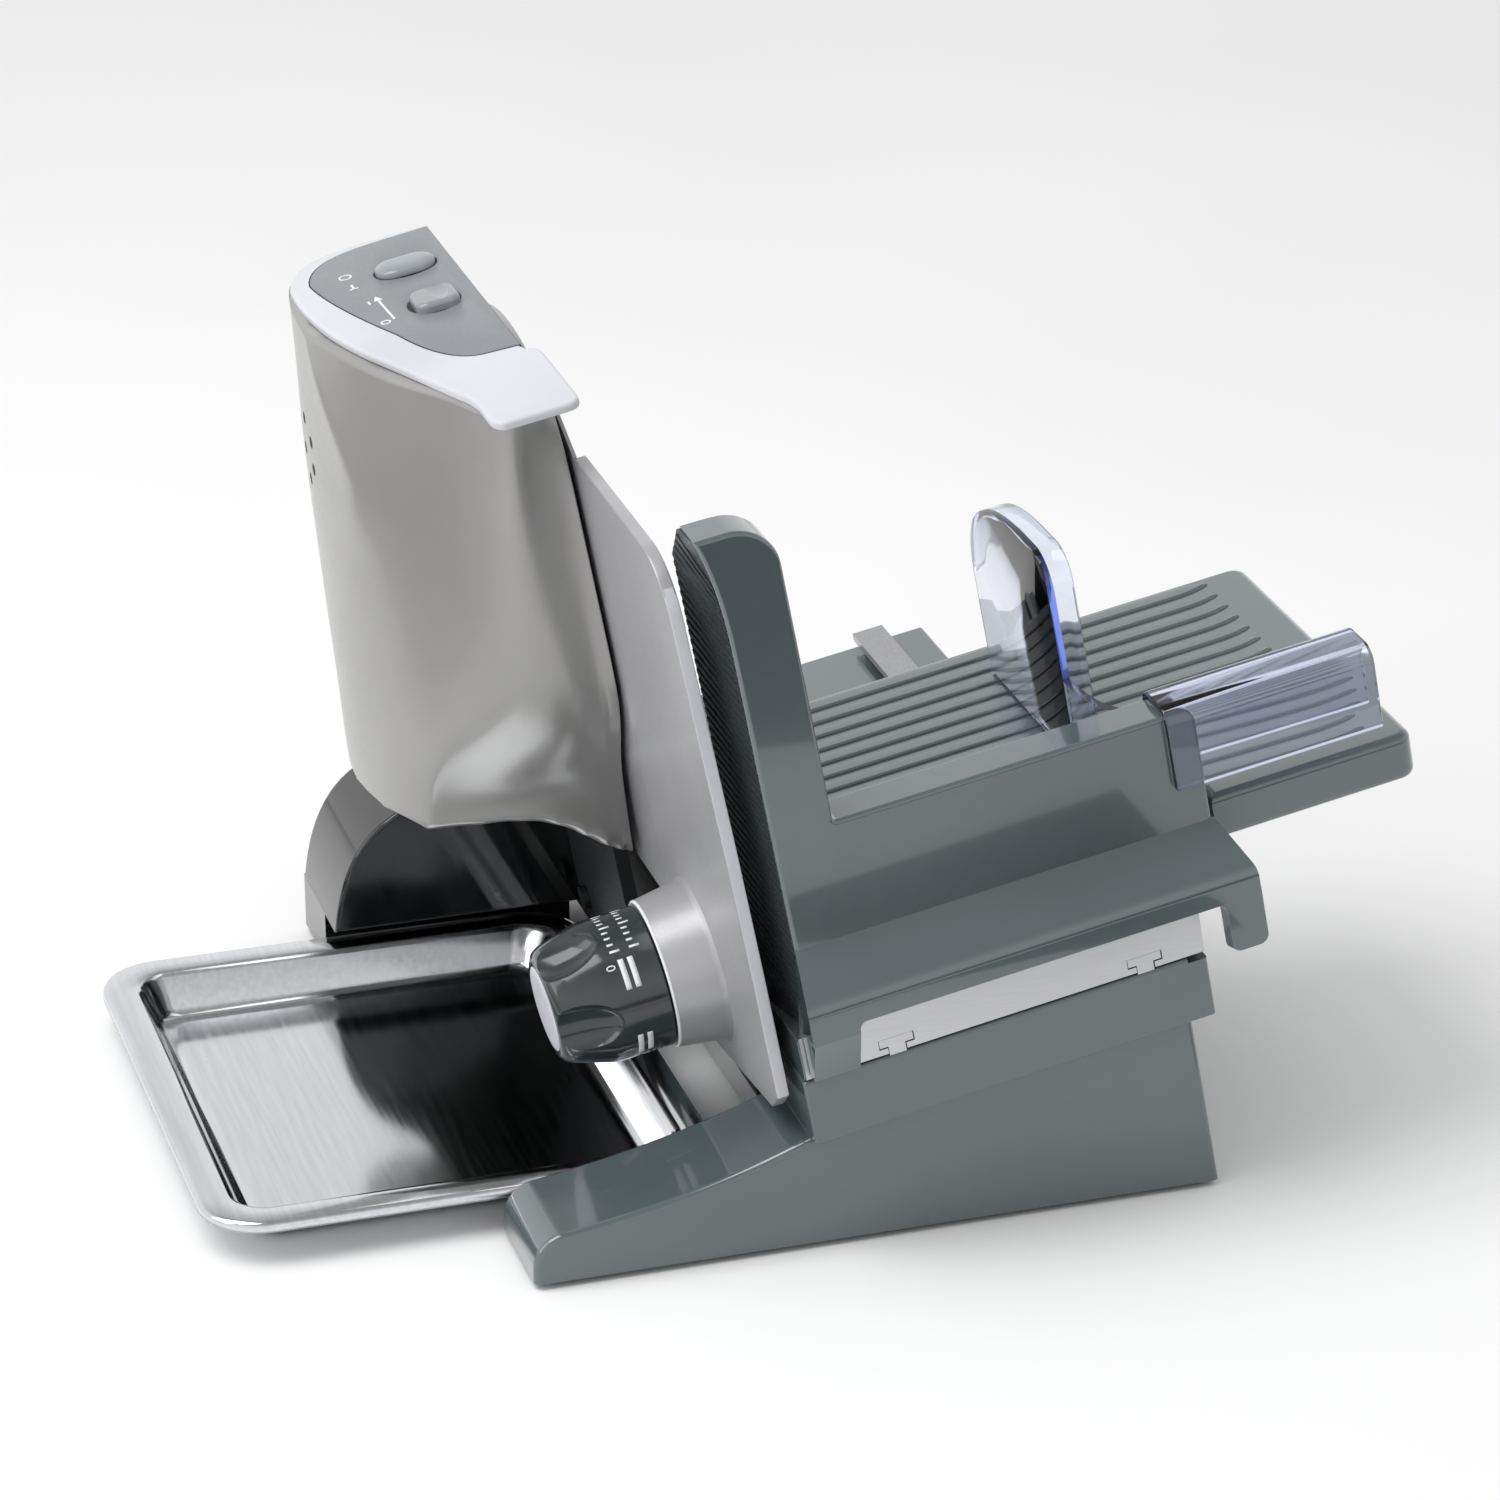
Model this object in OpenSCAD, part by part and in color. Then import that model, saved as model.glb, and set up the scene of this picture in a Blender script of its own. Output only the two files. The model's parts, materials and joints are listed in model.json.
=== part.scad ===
// Electric food slicer with a leaning deck, a sliding carriage and a tray for the slices.
// The user stands at the front (-Y). The blade turns about an axis that runs across the machine.
// Most pieces lean with the deck: there u runs up along the deck to the right, v to the back, w away from it.

/* [Machine] */
// Lean of the deck, blade and motor housing, in degrees
tilt = 10.9; // [8:0.1:14]
// Height of the rubber feet
foot_h = 2.5; // [2:0.5:5]
// Wall of the moulded shells
wall = 3; // [2:0.5:4]
// Gap between flat faces that slide
slide_gap = 0.5; // [0.3:0.1:0.8]
// Radial clearance of shafts and pins
run_gap = 0.05; // [0.02:0.01:0.1]

/* [Base] */
// Distance along the deck from the nose of the arm to the deck's left end
deck_left = 102.5; // [98:0.5:108]
// Length of the deck box
deck_len = 145.5; // [140:0.5:155]
// Depth of the base, front to back
base_depth = 290; // [286:1:310]
// Height of the deck box's underside above the nose
box_low = 20.8; // [18:0.2:24]
// Height of the deck box
box_h = 24.7; // [20:0.1:30]
// How far the deck box stands proud of the front wall
box_proud = 5; // [3:0.5:7]
// How far the base's right wall is set in from the deck box's end
end_step = 7; // [4:0.5:10]
// Width of the front arm
arm_w = 42; // [36:1:48]
// Height of the arm at its nose
nose_h = 17.5; // [15:0.5:20]
// Radius of a foot
foot_r = 8; // [6:0.5:10]

/* [Carriage] */
// Width of the upright guard
upright_w = 28; // [22:0.5:32]
// Height of the upright guard above the deck box
upright_h = 200; // [190:1:215]
// Thickness of the carriage's front wall
front_wall_t = 16; // [14:0.5:18]
// Length of the carriage's front wall
front_wall_len = 159; // [150:1:165]
// Height of the front wall above the table
front_wall_h = 40; // [34:1:46]
// Height of the table above the deck box
table_h = 49.5; // [46:0.5:54]
// Length of the table
table_len = 232; // [220:1:240]
// Depth of the table, front to back
table_depth = 150; // [146:1:160]
// Height of the table's rim
table_rim_h = 17; // [14:0.5:20]
// How far the push ledge stands out from the front wall
ledge_out = 18; // [14:0.5:22]
// Height of the runner under the carriage
runner_h = 16; // [14:0.5:18]

/* [Pusher] */
// Wall of the clear pusher
pusher_t = 3; // [2:0.5:4]
// Length of the clip that rides on the front wall
clip_len = 75; // [65:1:85]
// How far the clip covers the front wall's right end at rest
clip_on_wall = 15; // [10:1:25]
// Height of the spiked plate
spiked_h = 80; // [70:1:90]
// Depth of the spiked plate
spiked_depth = 88; // [70:1:95]

/* [Gauge] */
// Thickness of the gauge plate
gauge_t = 4.5; // [3.5:0.5:6]
// Gap from the gauge plate to the deck's left end
gauge_gap = 3.5; // [3:0.1:4.5]
// Height of the gauge plate's top edge
gauge_top = 234; // [225:1:240]
// Place of the knob's axis, front to back
knob_v = 76; // [70:1:80]
// Height of the knob's axis
knob_w = 56.7; // [54:0.1:60]
// Radius of the knob
knob_r = 25; // [22:0.5:26]
// Length of the knob's plain base, which carries the scale
knob_base_len = 19; // [16:0.5:22]
// Length of the knob's grip
knob_grip_len = 20; // [16:0.5:24]
// Radius of the boss at the gauge plate
boss_r = 28.5; // [27:0.5:31]
// Length of the boss
boss_len = 18.5; // [16:0.5:22]
// Radius of the spindle that the knob turns on
spindle_r = 4; // [3:0.5:5]
// Radius of the guide pin
guide_r = 3; // [2:0.5:4]

/* [Blade] */
// Diameter of the blade
blade_d = 170; // [160:1:172]
// Thickness of the blade
blade_t = 1.5; // [1:0.1:2]
// Place of the blade's axis, front to back
blade_v = 202; // [200:0.5:204]
// Height of the blade's axis
blade_w = 163; // [160:0.5:164]
// Diameter of the blade's shaft
shaft_d = 12; // [10:0.5:14]
// Number of teeth on the worm wheel
gear_teeth = 40; // [30:1:48]
// Radius of the worm wheel at its teeth's tips
gear_r = 30; // [26:0.5:32]

/* [Motor] */
// Radius of the motor's can
motor_r = 25; // [22:0.5:25]
// Radius of the worm
worm_r = 6; // [5:0.5:7]
// Radius of the motor's shaft
motor_shaft_r = 3; // [2.5:0.5:4]

/* [Housing] */
// Depth of the motor housing below the blade's axis
housing_below = 71; // [69:0.5:75]
// Height of the cap's top above the blade's axis
cap_above = 99; // [97:0.5:105]
// Thickness of the cap
cap_t = 5; // [4:0.5:6]
// How far the housing and cap reach behind the blade's axis
housing_behind = 84; // [82:1:86]
// How far the cap's tongue reaches ahead of the blade's axis
tongue_ahead = 107; // [103:1:111]
// Width of the slide switch
switch_w = 15; // [12:0.5:17]
// Length of the oval push button
button_len = 20; // [16:0.5:22]
// Travel of the push button
button_travel = 3; // [2:0.5:3.5]
// Travel of the slide switch
switch_travel = 6; // [4:0.5:8]

/* [Tray] */
// Left end of the tray, from the nose of the arm
tray_left = -100.5; // [-110:0.5:-90]
// Width of the tray
tray_len = 180.5; // [170:0.5:182]
// Depth of the tray, front to back
tray_depth = 206; // [195:1:207]
// Height of the tray's rim
tray_h = 16.2; // [13:0.2:18]
// Width of the tray's rim
tray_rim = 12; // [8:0.5:14]

/* [Hidden] */
$fn = 64;

grey_green = [0.36, 0.40, 0.40];
silver_grey = [0.66, 0.66, 0.64];
pale_grey = [0.80, 0.81, 0.82];
panel_grey = [0.42, 0.43, 0.44];
black = [0.05, 0.05, 0.05];
steel = [0.75, 0.76, 0.78];

// Deck
deck_right = deck_left + deck_len;
block_right = deck_right - end_step;
box_top = box_low + box_h;
rail_stem = 3;
rail_head = 6;
rail_stem_h = 3.5;
rail_head_h = 3;
rail_inset_left = 34;
rail_inset_right = 22;
rail_end_gap = 2;
rail_u = [deck_left + rail_inset_left, deck_right - rail_inset_right];

// Carriage
carriage_left = deck_left + slide_gap;
wall_front = -2;
wall_back = wall_front + front_wall_t;
wall_right = carriage_left + front_wall_len;
table_top = box_top + table_h;
wall_top = table_top + front_wall_h;
upright_top = box_top + upright_h;
upright_round = 16;
side_guard = 14;
runner_low = box_top + slide_gap;
run_top = runner_low + runner_h;
runner_depth = table_depth;
ledge_front = wall_front - ledge_out;
ledge_right = wall_right + 4;
ledge_back_w = table_top - 2;
lip_top = table_top - 15.5;
lip_low = table_top - 25;
lip_t = 3.5;
skirt_w = 19;
skirt_low = box_top + 3 * slide_gap;
leg_w = 13;
leg_low = box_top + 5.5;
table_left = carriage_left + 2;
table_right = table_left + table_len;
table_front = wall_back + 0.2;
table_nose = wall_front + 10;
table_back = table_front + table_depth;
table_low = table_top - table_rim_h;
ridge_h = 1.5;
ridge_w = 4;
ridge_pitch = 15;
ridge_end = 11;

// Pusher
clip_left = wall_right - clip_on_wall;
clip_front = wall_front - slide_gap - pusher_t;
clip_back = wall_back + slide_gap + pusher_t;
clip_top = wall_top + slide_gap + pusher_t;
clip_drop = 30;
pusher_low = table_top + ridge_h + slide_gap;
spiked_u = clip_left - 16;
spiked_front = clip_back + 34;
spike_r = 1.2;
spike_len = 2.5;

// Gauge
gauge_right = deck_left - gauge_gap;
gauge_left = gauge_right - gauge_t;
bracket_t = gauge_gap - 1.2;
boss_end = gauge_left - boss_len;
boss_end_r = knob_r + 1;
knob_start = boss_end - 0.3;
grip_start = knob_start - knob_base_len;
knob_end = grip_start - knob_grip_len;
neck_r = spindle_r + 6;
neck_end = gauge_left - 3.5;
cavity_r = neck_r + 5;
clip_u = gauge_left - 7;
clip_t = 1.5;
guide_v = knob_v + 33;
guide_w = knob_w - 17;
guide_boss_r = guide_r + 4;
guide_boss_len = 12;
guide_len = 34;
spindle_end = grip_start - 5;

// Blade
blade_r = blade_d / 2;
housing_low = blade_w - housing_below;
cap_top = blade_w + cap_above;
housing_back = blade_v + housing_behind;
tongue_front = blade_v - tongue_ahead;
blade_right = gauge_right;
blade_left = blade_right - blade_t;
shaft_r = shaft_d / 2;
hub_r = 30;
hub_left = blade_left - 4.5;
frame_right = hub_left - 2;
frame_t = 5;
frame_left = frame_right - frame_t;
frame_front = blade_v - 49;
frame_top = cap_top - cap_t - 3;
frame_hub_r = 14;
frame_hub_len = 16;
bush_len = 8;
bush_r = shaft_r + 2;
gear_w = 12;
gear_u = frame_left - frame_hub_len - 4 - gear_w;
shaft_left = gear_u - 6;
tooth_h = 2.2;
lock_r = 14;
lock_t = 2.4;
lock_stem_r = 4;
lock_stem_len = 9;
guard_r = blade_r + 2.5;
guard_t = 2.5;
guard_gap = 0.5;
shield_t = 1.2;
gauge_blade_gap = 3;
gauge_low = 15;
gauge_back = blade_v - blade_r - gauge_blade_gap;

// Motor
motor_u = gear_u + gear_w / 2;
motor_v = blade_v + gear_r + 0.4 + worm_r;
motor_low = housing_low + wall + 2;
motor_top = blade_w - gear_r - 2;
motor_h = motor_top - motor_low;
end_plate_t = 3;
can_wall = 2;
worm_half = 20;
steady_low = blade_w + worm_half + 3;
steady_h = 8;
motor_shaft_top = steady_low + steady_h + 2;
motor_shaft_low = motor_low - 1;
armature_r = motor_r - can_wall - 5;

// Housing and cap
cap_low = cap_top - cap_t;
cap_left = 36;
cap_right = 93;
tongue_left = cap_left + 35;
tongue_right = cap_right + 5;
tongue_back = tongue_front + 54;
cap_left_back = cap_left + 27;
side_back = blade_v + 60;
side_mid = blade_v + 3;
side_front = blade_v - 67;
panel_sink = 2.5;
panel_proud = 0.4;
panel_low = cap_top - panel_sink;
panel_front = blade_v - 42;
panel_left = cap_left + 9;
panel_bend = cap_left + 32;
switch_u = cap_left + 41.5;
switch_v = blade_v + 10.5;
switch_stem = 3;
switch_h = 4.6;
button_u = cap_left + 40.3;
button_v = blade_v + 49;
button_r = 6;
button_sunk = 0.6;
button_h = button_travel + button_sunk;
stem_r = 3.5;
block_low = cap_low - 25;
key_gap = 0.4;

// Pedestal
pedestal_front = 238;
pedestal_left = -11;
pedestal_leg_front = 256;
pedestal_lift = 20;
gland_r = 7;
gland_len = 6;

// Tray
tray_front = arm_w + 0.6;
sheet_t = 0.9;
tray_corner = 22;

// Screws
screw_r = 2;
screw_bite = 6;
column_r = 5;
column_bore = foot_h + wall + screw_bite + 1;

// Feet: the four places under the base
foot_at = [[22, arm_w / 2], [210, 22], [210, base_depth - 22], [pedestal_left + 27, base_depth - 17]];

// Origin: middle of the outline on the table
mid_x = (tray_left + deck_x(table_right, table_low)) / 2;
mid_y = (ledge_front + base_depth + gland_len) / 2;

function deck_x(u, w) = u * cos(tilt) - w * sin(tilt);
function deck_z(u, w) = u * sin(tilt) + w * cos(tilt) + foot_h;
function on_deck(u, w) = [deck_x(u, w), deck_z(u, w)];
function arc(c, r, a, b, n = 10) = [for (i = [0:n]) let (t = a + (b - a) * i / n) c + r * [cos(t), sin(t)]];
function bend(a, b, c, n = 12) = [for (i = [0:n]) let (t = i / n) a * (1 - t) ^ 2 + b * 2 * t * (1 - t)
    + c * t ^ 2];
function turned(list) = [for (i = [len(list) - 1:-1:0]) list[i]];

module part_frame() { translate([-mid_x, -mid_y, 0]) children(); }
module deck_frame() { part_frame() translate([0, 0, foot_h]) rotate([0, -tilt, 0]) children(); }
// An outline in x and z, drawn out to the back
module along_y(y, depth) { translate([0, y + depth, 0]) rotate([90, 0, 0]) linear_extrude(depth) children(); }
// An outline in v and w, drawn out to the right
module along_u(u, length) { translate([u, 0, 0]) rotate([90, 0, 90]) linear_extrude(length) children(); }
module disc_u(u, length, r, v, w) { translate([u, v, w]) rotate([0, 90, 0]) cylinder(h = length, r = r); }
module rounded_square(x, y, length, depth, r) {
    translate([x + r, y]) square([length - 2 * r, depth]);
    translate([x, y + r]) square([length, depth - 2 * r]);
    for (i = [x + r, x + length - r], j = [y + r, y + depth - r]) translate([i, j]) circle(r);
}

// Base
module arm_outline(inset) {
    nose_r = nose_h - 5.5;
    polygon(concat(
        [[inset, foot_h - inset]],
        arc([nose_r, foot_h + 5.5], nose_r - inset, 180, 96),
        bend([nose_r, nose_h + foot_h - inset], [62, 25 + foot_h - inset],
             on_deck(deck_left, box_low) - [0, inset], 16),
        [on_deck(deck_left + wall, box_low - 1) - [0, inset]],
        [[(deck_left + wall) / cos(tilt), foot_h - inset]]
    ));
}

module block_outline(inset) {
    low = foot_h - inset;
    polygon([
        [(deck_left + inset) / cos(tilt), low], [(block_right - inset) / cos(tilt), low],
        on_deck(block_right - inset, box_low - inset), on_deck(deck_left + inset, box_low - inset)
    ]);
}

module base_shell() {
    color(grey_green) part_frame() difference() {
        union() {
            along_y(0, arm_w) arm_outline(0);
            along_y(0, base_depth) block_outline(0);
        }
        difference() {
            along_y(wall, arm_w - 2 * wall) difference() {
                arm_outline(wall);
                block_outline(0);
            }
            translate([foot_at[0][0], foot_at[0][1], 0]) cylinder(h = 2 * nose_h, r = foot_r + 1);
        }
        difference() {
            along_y(wall, base_depth - 2 * wall) block_outline(wall);
            for (p = base_screw_at()) translate([p[0], p[1], foot_h + wall])
                cylinder(h = base_depth, r = column_r);
        }
        for (p = base_screw_at()) translate([p[0], p[1], 0]) cylinder(h = column_bore, r = screw_r + 0.02);
        translate([0, 0, foot_h]) rotate([0, -tilt, 0]) for (p = frame_screw_at())
            disc_u(deck_left - 1, screw_bite + 2, screw_r + 0.52, p[0], p[1]);
    }
}

module deck_box() {
    color(grey_green) deck_frame() difference() {
        translate([deck_left, -box_proud, box_low]) cube([deck_len, base_depth + box_proud, box_h]);
        translate([deck_left + wall, wall - box_proud, box_low - 1])
            cube([deck_len - 2 * wall, base_depth + box_proud - 2 * wall, box_h - wall + 1]);
        translate([deck_right - end_step, -box_proud - 1, box_top - 1.5]) cube([end_step + 1, 12, 2]);
    }
}

module rail_outline(u, gap) {
    translate([u, box_top]) {
        translate([-rail_stem - gap, -gap]) square([2 * (rail_stem + gap), rail_stem_h + rail_head_h]);
        translate([-rail_head - gap, rail_stem_h - gap])
            square([2 * (rail_head + gap), rail_head_h + 2 * gap]);
    }
}

module guide_rails() {
    color(steel) deck_frame() for (u = rail_u)
        along_y(rail_end_gap, base_depth - 2 * rail_end_gap) rail_outline(u, 0);
}

module base_plate() {
    gap = 0.2;
    left = (deck_left + wall) / cos(tilt) + gap;
    right = (block_right - wall) / cos(tilt) - gap - 2 * wall * tan(tilt);
    color(black) part_frame() difference() {
        translate([left, wall + gap, foot_h])
            cube([right - left, base_depth - 2 * (wall + gap), wall]);
        for (p = base_screw_at()) translate([p[0], p[1], foot_h - 1]) cylinder(h = wall + 2,
            r = screw_r + 0.1);
    }
}

screw_inset = 50;
function base_screw_at() = [for (x = [deck_left + 27.5, deck_right - 33],
                                 y = [screw_inset, base_depth - screw_inset]) [x, y]];

module base_screws() {
    head_h = 1.5;
    color(steel) part_frame() for (p = base_screw_at()) translate([p[0], p[1], foot_h - head_h]) {
        cylinder(h = head_h + wall + screw_bite, r = screw_r);
        cylinder(h = head_h, r = 2 * screw_r);
    }
}

module feet() {
    color([0.12, 0.12, 0.12]) part_frame() for (p = foot_at) translate([p[0], p[1], 0])
        cylinder(h = foot_h, r1 = foot_r - 1, r2 = foot_r);
}

// Pedestal and motor housing
// The pedestal from the front: its left end leans over to the right as it rises
module pedestal_outline(inset) {
    low = foot_h + pedestal_lift;
    left = pedestal_left + inset;
    waist = [left + 21, low + 43.5];
    right = deck_x(frame_left, 0);
    polygon(concat(
        bend([left, low], [left + 3, low + 32.5], waist, 10), bend(waist, waist + [22, 13], waist + [27,
            41.5], 8),
        [[right, waist[1] + 41.5], [right, low]]
    ));
}

module below_deck_plane(right, top) {
    translate([0, 0, foot_h]) rotate([0, -tilt, 0]) translate([-200, 0, -200])
        cube([200 + right, base_depth + 1, 200 + top]);
}

module pedestal() {
    depth = base_depth - pedestal_front;
    leg_depth = base_depth - pedestal_leg_front;
    color(black) part_frame() difference() {
        intersection() {
            union() {
                along_y(pedestal_front, depth) pedestal_outline(0);
                translate([pedestal_left, pedestal_leg_front, foot_h])
                    cube([deck_x(frame_left, 0) - pedestal_left, leg_depth, pedestal_lift + 1]);
            }
            below_deck_plane(frame_left, housing_low);
        }
        intersection() {
            along_y(pedestal_front + wall, depth - 2 * wall) pedestal_outline(1.5 * wall);
            below_deck_plane(frame_left - wall, housing_low + 1);
            translate([pedestal_left, 0, foot_h + pedestal_lift + wall]) cube(2 * base_depth);
        }
        gland_hole();
    }
}

gland_x = 60;
gland_z = foot_h + 46;
module gland_hole() {
    translate([gland_x, base_depth + 1, gland_z]) rotate([90, 0, 0]) cylinder(h = wall + 2, r = gland_r);
}

module cord_gland() {
    bore_r = 3.5;
    color(black) part_frame() translate([gland_x, base_depth + gland_len, gland_z]) rotate([90, 0, 0])
        difference() {
        union() {
            cylinder(h = gland_len + wall, r = gland_r - 0.1);
            cylinder(h = gland_len, r1 = gland_r, r2 = gland_r + 2);
        }
        translate([0, 0, -1]) cylinder(h = gland_len + wall + 2, r = bore_r);
    }
}

// Motor housing: each row is one level, from the back right corner round the left to the front,
// as u, then the distances behind and above the blade's axis
housing_level = [
    [[86, 84, 94], [63, 83.5, 94], [43.5, 80, 94], [35, 60, 94], [33.5, 34, 94], [36, 6, 94],
     [46.3, -27, 94], [55.5, -49, 94], [63.5, -68, 94], [69.5, -90, 94], [73.5, -101, 94], [78.5, -100, 94],
     [82, -86, 94], [87, -70, 94], [91.8, -59, 94], [91.8, -56.5, 94], [86, -52, 94], [86, -30, 94],
     [86, -8, 94]],
    [[86, 84, 73], [63, 83.5, 73], [42.8, 80, 73], [32.9, 62, 73], [30.4, 36, 73], [31.9, 6, 73],
     [43, -32, 73], [51.6, -51, 73], [60, -68, 73], [67, -88, 73], [72.5, -97, 73], [77.5, -92, 73],
     [82, -80.5, 73], [87, -67.5, 73], [91.8, -56, 73], [91.8, -53.5, 73], [86, -51.5, 73], [86, -30, 73],
     [86, -8, 73]],
    [[86, 84, 49], [62, 83.5, 49], [40.2, 80, 49], [30, 62, 49], [26.5, 36, 49], [29, 0, 49],
     [39.2, -36, 49], [47.7, -52, 49], [57, -68, 49], [65, -84, 49], [72, -91, 49], [77.5, -88.5, 49],
     [82, -79.5, 49], [87, -67.5, 49], [91.8, -57, 49], [91.8, -54, 49], [86, -52, 49], [86, -30, 49],
     [86, -8, 49]],
    [[86, 84, 23], [62, 83.5, 23], [38.8, 80, 23], [27.6, 62, 23], [23.1, 36, 23], [24.6, 0, 23],
     [35.5, -38, 23], [44.8, -55, 23], [55, -70, 23], [64.5, -82, 23], [73, -86, 23], [77.4, -85.8, 23],
     [83, -82, 23], [88, -75, 23], [91.8, -67, 23], [91.8, -62, 23], [86, -56, 23], [86, -30, 23],
     [86, -8, 23]],
    [[86, 84, 0], [62, 83, 0], [37.3, 80, 0], [25.7, 62, 0], [20.7, 36, 0], [21.2, 1, 0], [31.7, -39, 0],
     [42, -56, 0], [53, -71, 0], [64, -81, 0], [75, -86, 0], [82, -85.2, 0], [88, -84.2, 0], [90.6, -82.6, 0],
     [91.8, -80, 0], [91.8, -74, 0], [86, -66, 0], [86, -30, 0], [86, -8, 0]],
    [[86, 84, -23], [62, 83, -23], [36.6, 80, -23], [24.1, 62, -23], [18.1, 36, -23], [17.6, 3, -23],
     [25.8, -36, -23], [37, -55.5, -23], [50, -69, -23], [63, -78, -23], [75, -83, -23], [83, -83, -23],
     [88, -81.5, -23], [90.6, -79.6, -23], [91.8, -77, -23], [91.8, -71, -23], [86, -63, -23],
     [86, -30, -23], [86, -8, -23]],
    [[86, 84, -43], [62, 83, -43], [36.5, 80, -43], [23.5, 61, -43], [16.5, 37, -43], [14.5, 7, -43],
     [20.5, -30, -43], [30.5, -50, -43], [46, -60, -43], [60, -68, -43], [73, -73, -43], [82, -73.5, -43],
     [87.5, -72.5, -43], [90.4, -71, -43], [91.8, -69, -43], [91.8, -63, -43], [86, -55, -43],
     [86, -30, -43], [86, -8, -43]],
    [[86, 84, -59], [62, 83, -59], [37, 79.5, -59], [22.5, 60, -59], [15, 38, -59], [12, 10, -59],
     [16.5, -22, -59], [26, -43.5, -59], [43, -51.5, -59], [57, -56, -59], [70, -59, -59],
     [80, -60.5, -59], [86, -60.5, -59], [89.6, -59.8, -59], [91.8, -58, -59], [91.8, -54, -59],
     [86, -50, -59], [86, -30, -59], [86, -8, -59]],
    [[86, 84, -71], [62, 83, -71], [38, 79, -71], [22, 60, -71], [14.5, 38, -71], [11, 13, -71],
     [14.5, -15, -71], [24, -42, -71], [42, -50, -71], [56, -54.5, -72], [67, -57.5, -76],
     [76, -59.5, -83], [83, -60, -90], [88, -58.6, -94], [91.8, -56, -97], [91.8, -53, -97],
     [86, -50, -97], [86, -32, -91], [86, -12, -71]]
];
// The housing's hollow at its floor and at its top, in the same way, without the height
hollow_low = [[90, 81], [60, 80], [40, 75], [27, 58], [20, 38], [17, 13], [20, -10], [30, -34], [40, -44],
              [60, -47], [90, -45]];
hollow_top = [[90, 81], [64, 80], [50, 76], [42, 58], [41, 33], [45, 1], [54, -32], [63, -45], [90, -45]];
// The hollow of the housing's front at three levels: the height, then the outline
hollow_front = [
    [-43, [[52, -42], [58, -56], [66, -61], [74, -65], [79, -65], [80, -42]]],
    [0, [[46, -42], [55, -63], [66, -74], [74, -78], [79, -78], [80, -42]]],
    [95, [[64, -42], [67, -66], [71.5, -86], [73.5, -88], [74.5, -82], [75.5, -66], [76, -42]]]
];

module housing_outside() {
    levels = len(housing_level);
    count = len(housing_level[0]);
    last = levels * count;
    points = concat([for (level = housing_level, p = level) p],
                    [[62, -39, -housing_below], [62, -39, cap_above - cap_t]]);
    sides = [for (i = [0:levels - 2], j = [0:count - 1], half = [0, 1]) let (k = (j + 1) % count)
        half == 0 ? [i * count + j, (i + 1) * count + k, (i + 1) * count + j]
                  : [i * count + j, i * count + k, (i + 1) * count + k]];
    ends = [for (j = [0:count - 1], half = [0, 1]) let (k = (j + 1) % count, low = last - count)
        half == 0 ? [last, low + j, low + k] : [last + 1, k, j]];
    translate([0, blade_v, blade_w]) polyhedron(points, concat(sides, ends));
}

module hollow_level(outline, w) { translate([0, blade_v, w]) linear_extrude(0.5) polygon(outline); }

module motor_housing() {
    color(silver_grey) deck_frame() difference() {
        housing_outside();
        hull() {
            hollow_level(hollow_low, housing_low + wall);
            hollow_level(hollow_top, cap_low + 1);
        }
        for (i = [0, 1]) hull() for (level = [hollow_front[i], hollow_front[i + 1]])
            hollow_level(level[1], blade_w + level[0]);
    }
}

// The left side of the cap, seen from above
function side_curve() = bend([cap_left, side_back], [cap_left - 6, side_mid], [cap_left + 26,
    side_front], 14);
function back_curve() = bend([cap_left_back, housing_back], [cap_left + 2, housing_back], [cap_left,
    side_back], 8);

module cap_outline() {
    polygon(concat(
        [[cap_right, housing_back]], back_curve(), side_curve(),
        [[tongue_left, tongue_front], [tongue_right, tongue_front], [tongue_right, tongue_back],
         [cap_right, tongue_back + 4]]
    ));
}

module panel_outline(gap) {
    polygon(concat(
        [[cap_right + gap, housing_back + gap], [cap_left_back + 3, housing_back + gap]],
        bend([cap_left_back + 3, housing_back + gap], [panel_left + 1 - gap, housing_back - 2 + gap],
             [panel_left - gap, side_back], 8),
        bend([panel_left - gap, side_back], [panel_left - 5 - gap, side_mid], [panel_bend - gap,
            panel_front + 12], 12),
        bend([panel_bend - gap, panel_front + 12], [panel_bend + 7, panel_front - gap],
             [cap_right + gap, panel_front - gap], 6)
    ));
}

module button_outline(gap) {
    half = button_len / 2 - button_r;
    translate([button_u, button_v]) {
        for (s = [-half, half]) translate([s, 0]) circle(button_r + gap);
        square([2 * half, 2 * (button_r + gap)], center = true);
    }
}

module stem_holes() {
    reach = 40;
    translate([button_u, button_v, cap_low - reach / 2]) cylinder(h = reach, r = stem_r + key_gap);
    translate([switch_u - switch_stem - key_gap, switch_v - switch_stem - key_gap, cap_low - reach / 2])
        cube([2 * (switch_stem + key_gap), 2 * (switch_stem + key_gap) + switch_travel, reach]);
}

module top_cap() {
    color(pale_grey) deck_frame() difference() {
        translate([0, 0, cap_low]) linear_extrude(cap_t) cap_outline();
        translate([0, 0, panel_low]) linear_extrude(panel_sink + 1) panel_outline(0);
        translate([0, 0, cap_low - 1]) linear_extrude(cap_t + 2) button_outline(key_gap);
        stem_holes();
    }
}

module control_panel() {
    dish_r = switch_w / 2 + switch_travel + 1;
    color(panel_grey) deck_frame() difference() {
        translate([0, 0, panel_low]) linear_extrude(panel_sink + panel_proud) panel_outline(-0.1);
        translate([0, 0, panel_low - 1]) linear_extrude(panel_sink + 2) button_outline(key_gap);
        translate([switch_u, switch_v + switch_travel / 2, panel_low + 1.5]) cylinder(h = panel_sink,
            r = dish_r);
        stem_holes();
    }
}

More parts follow.
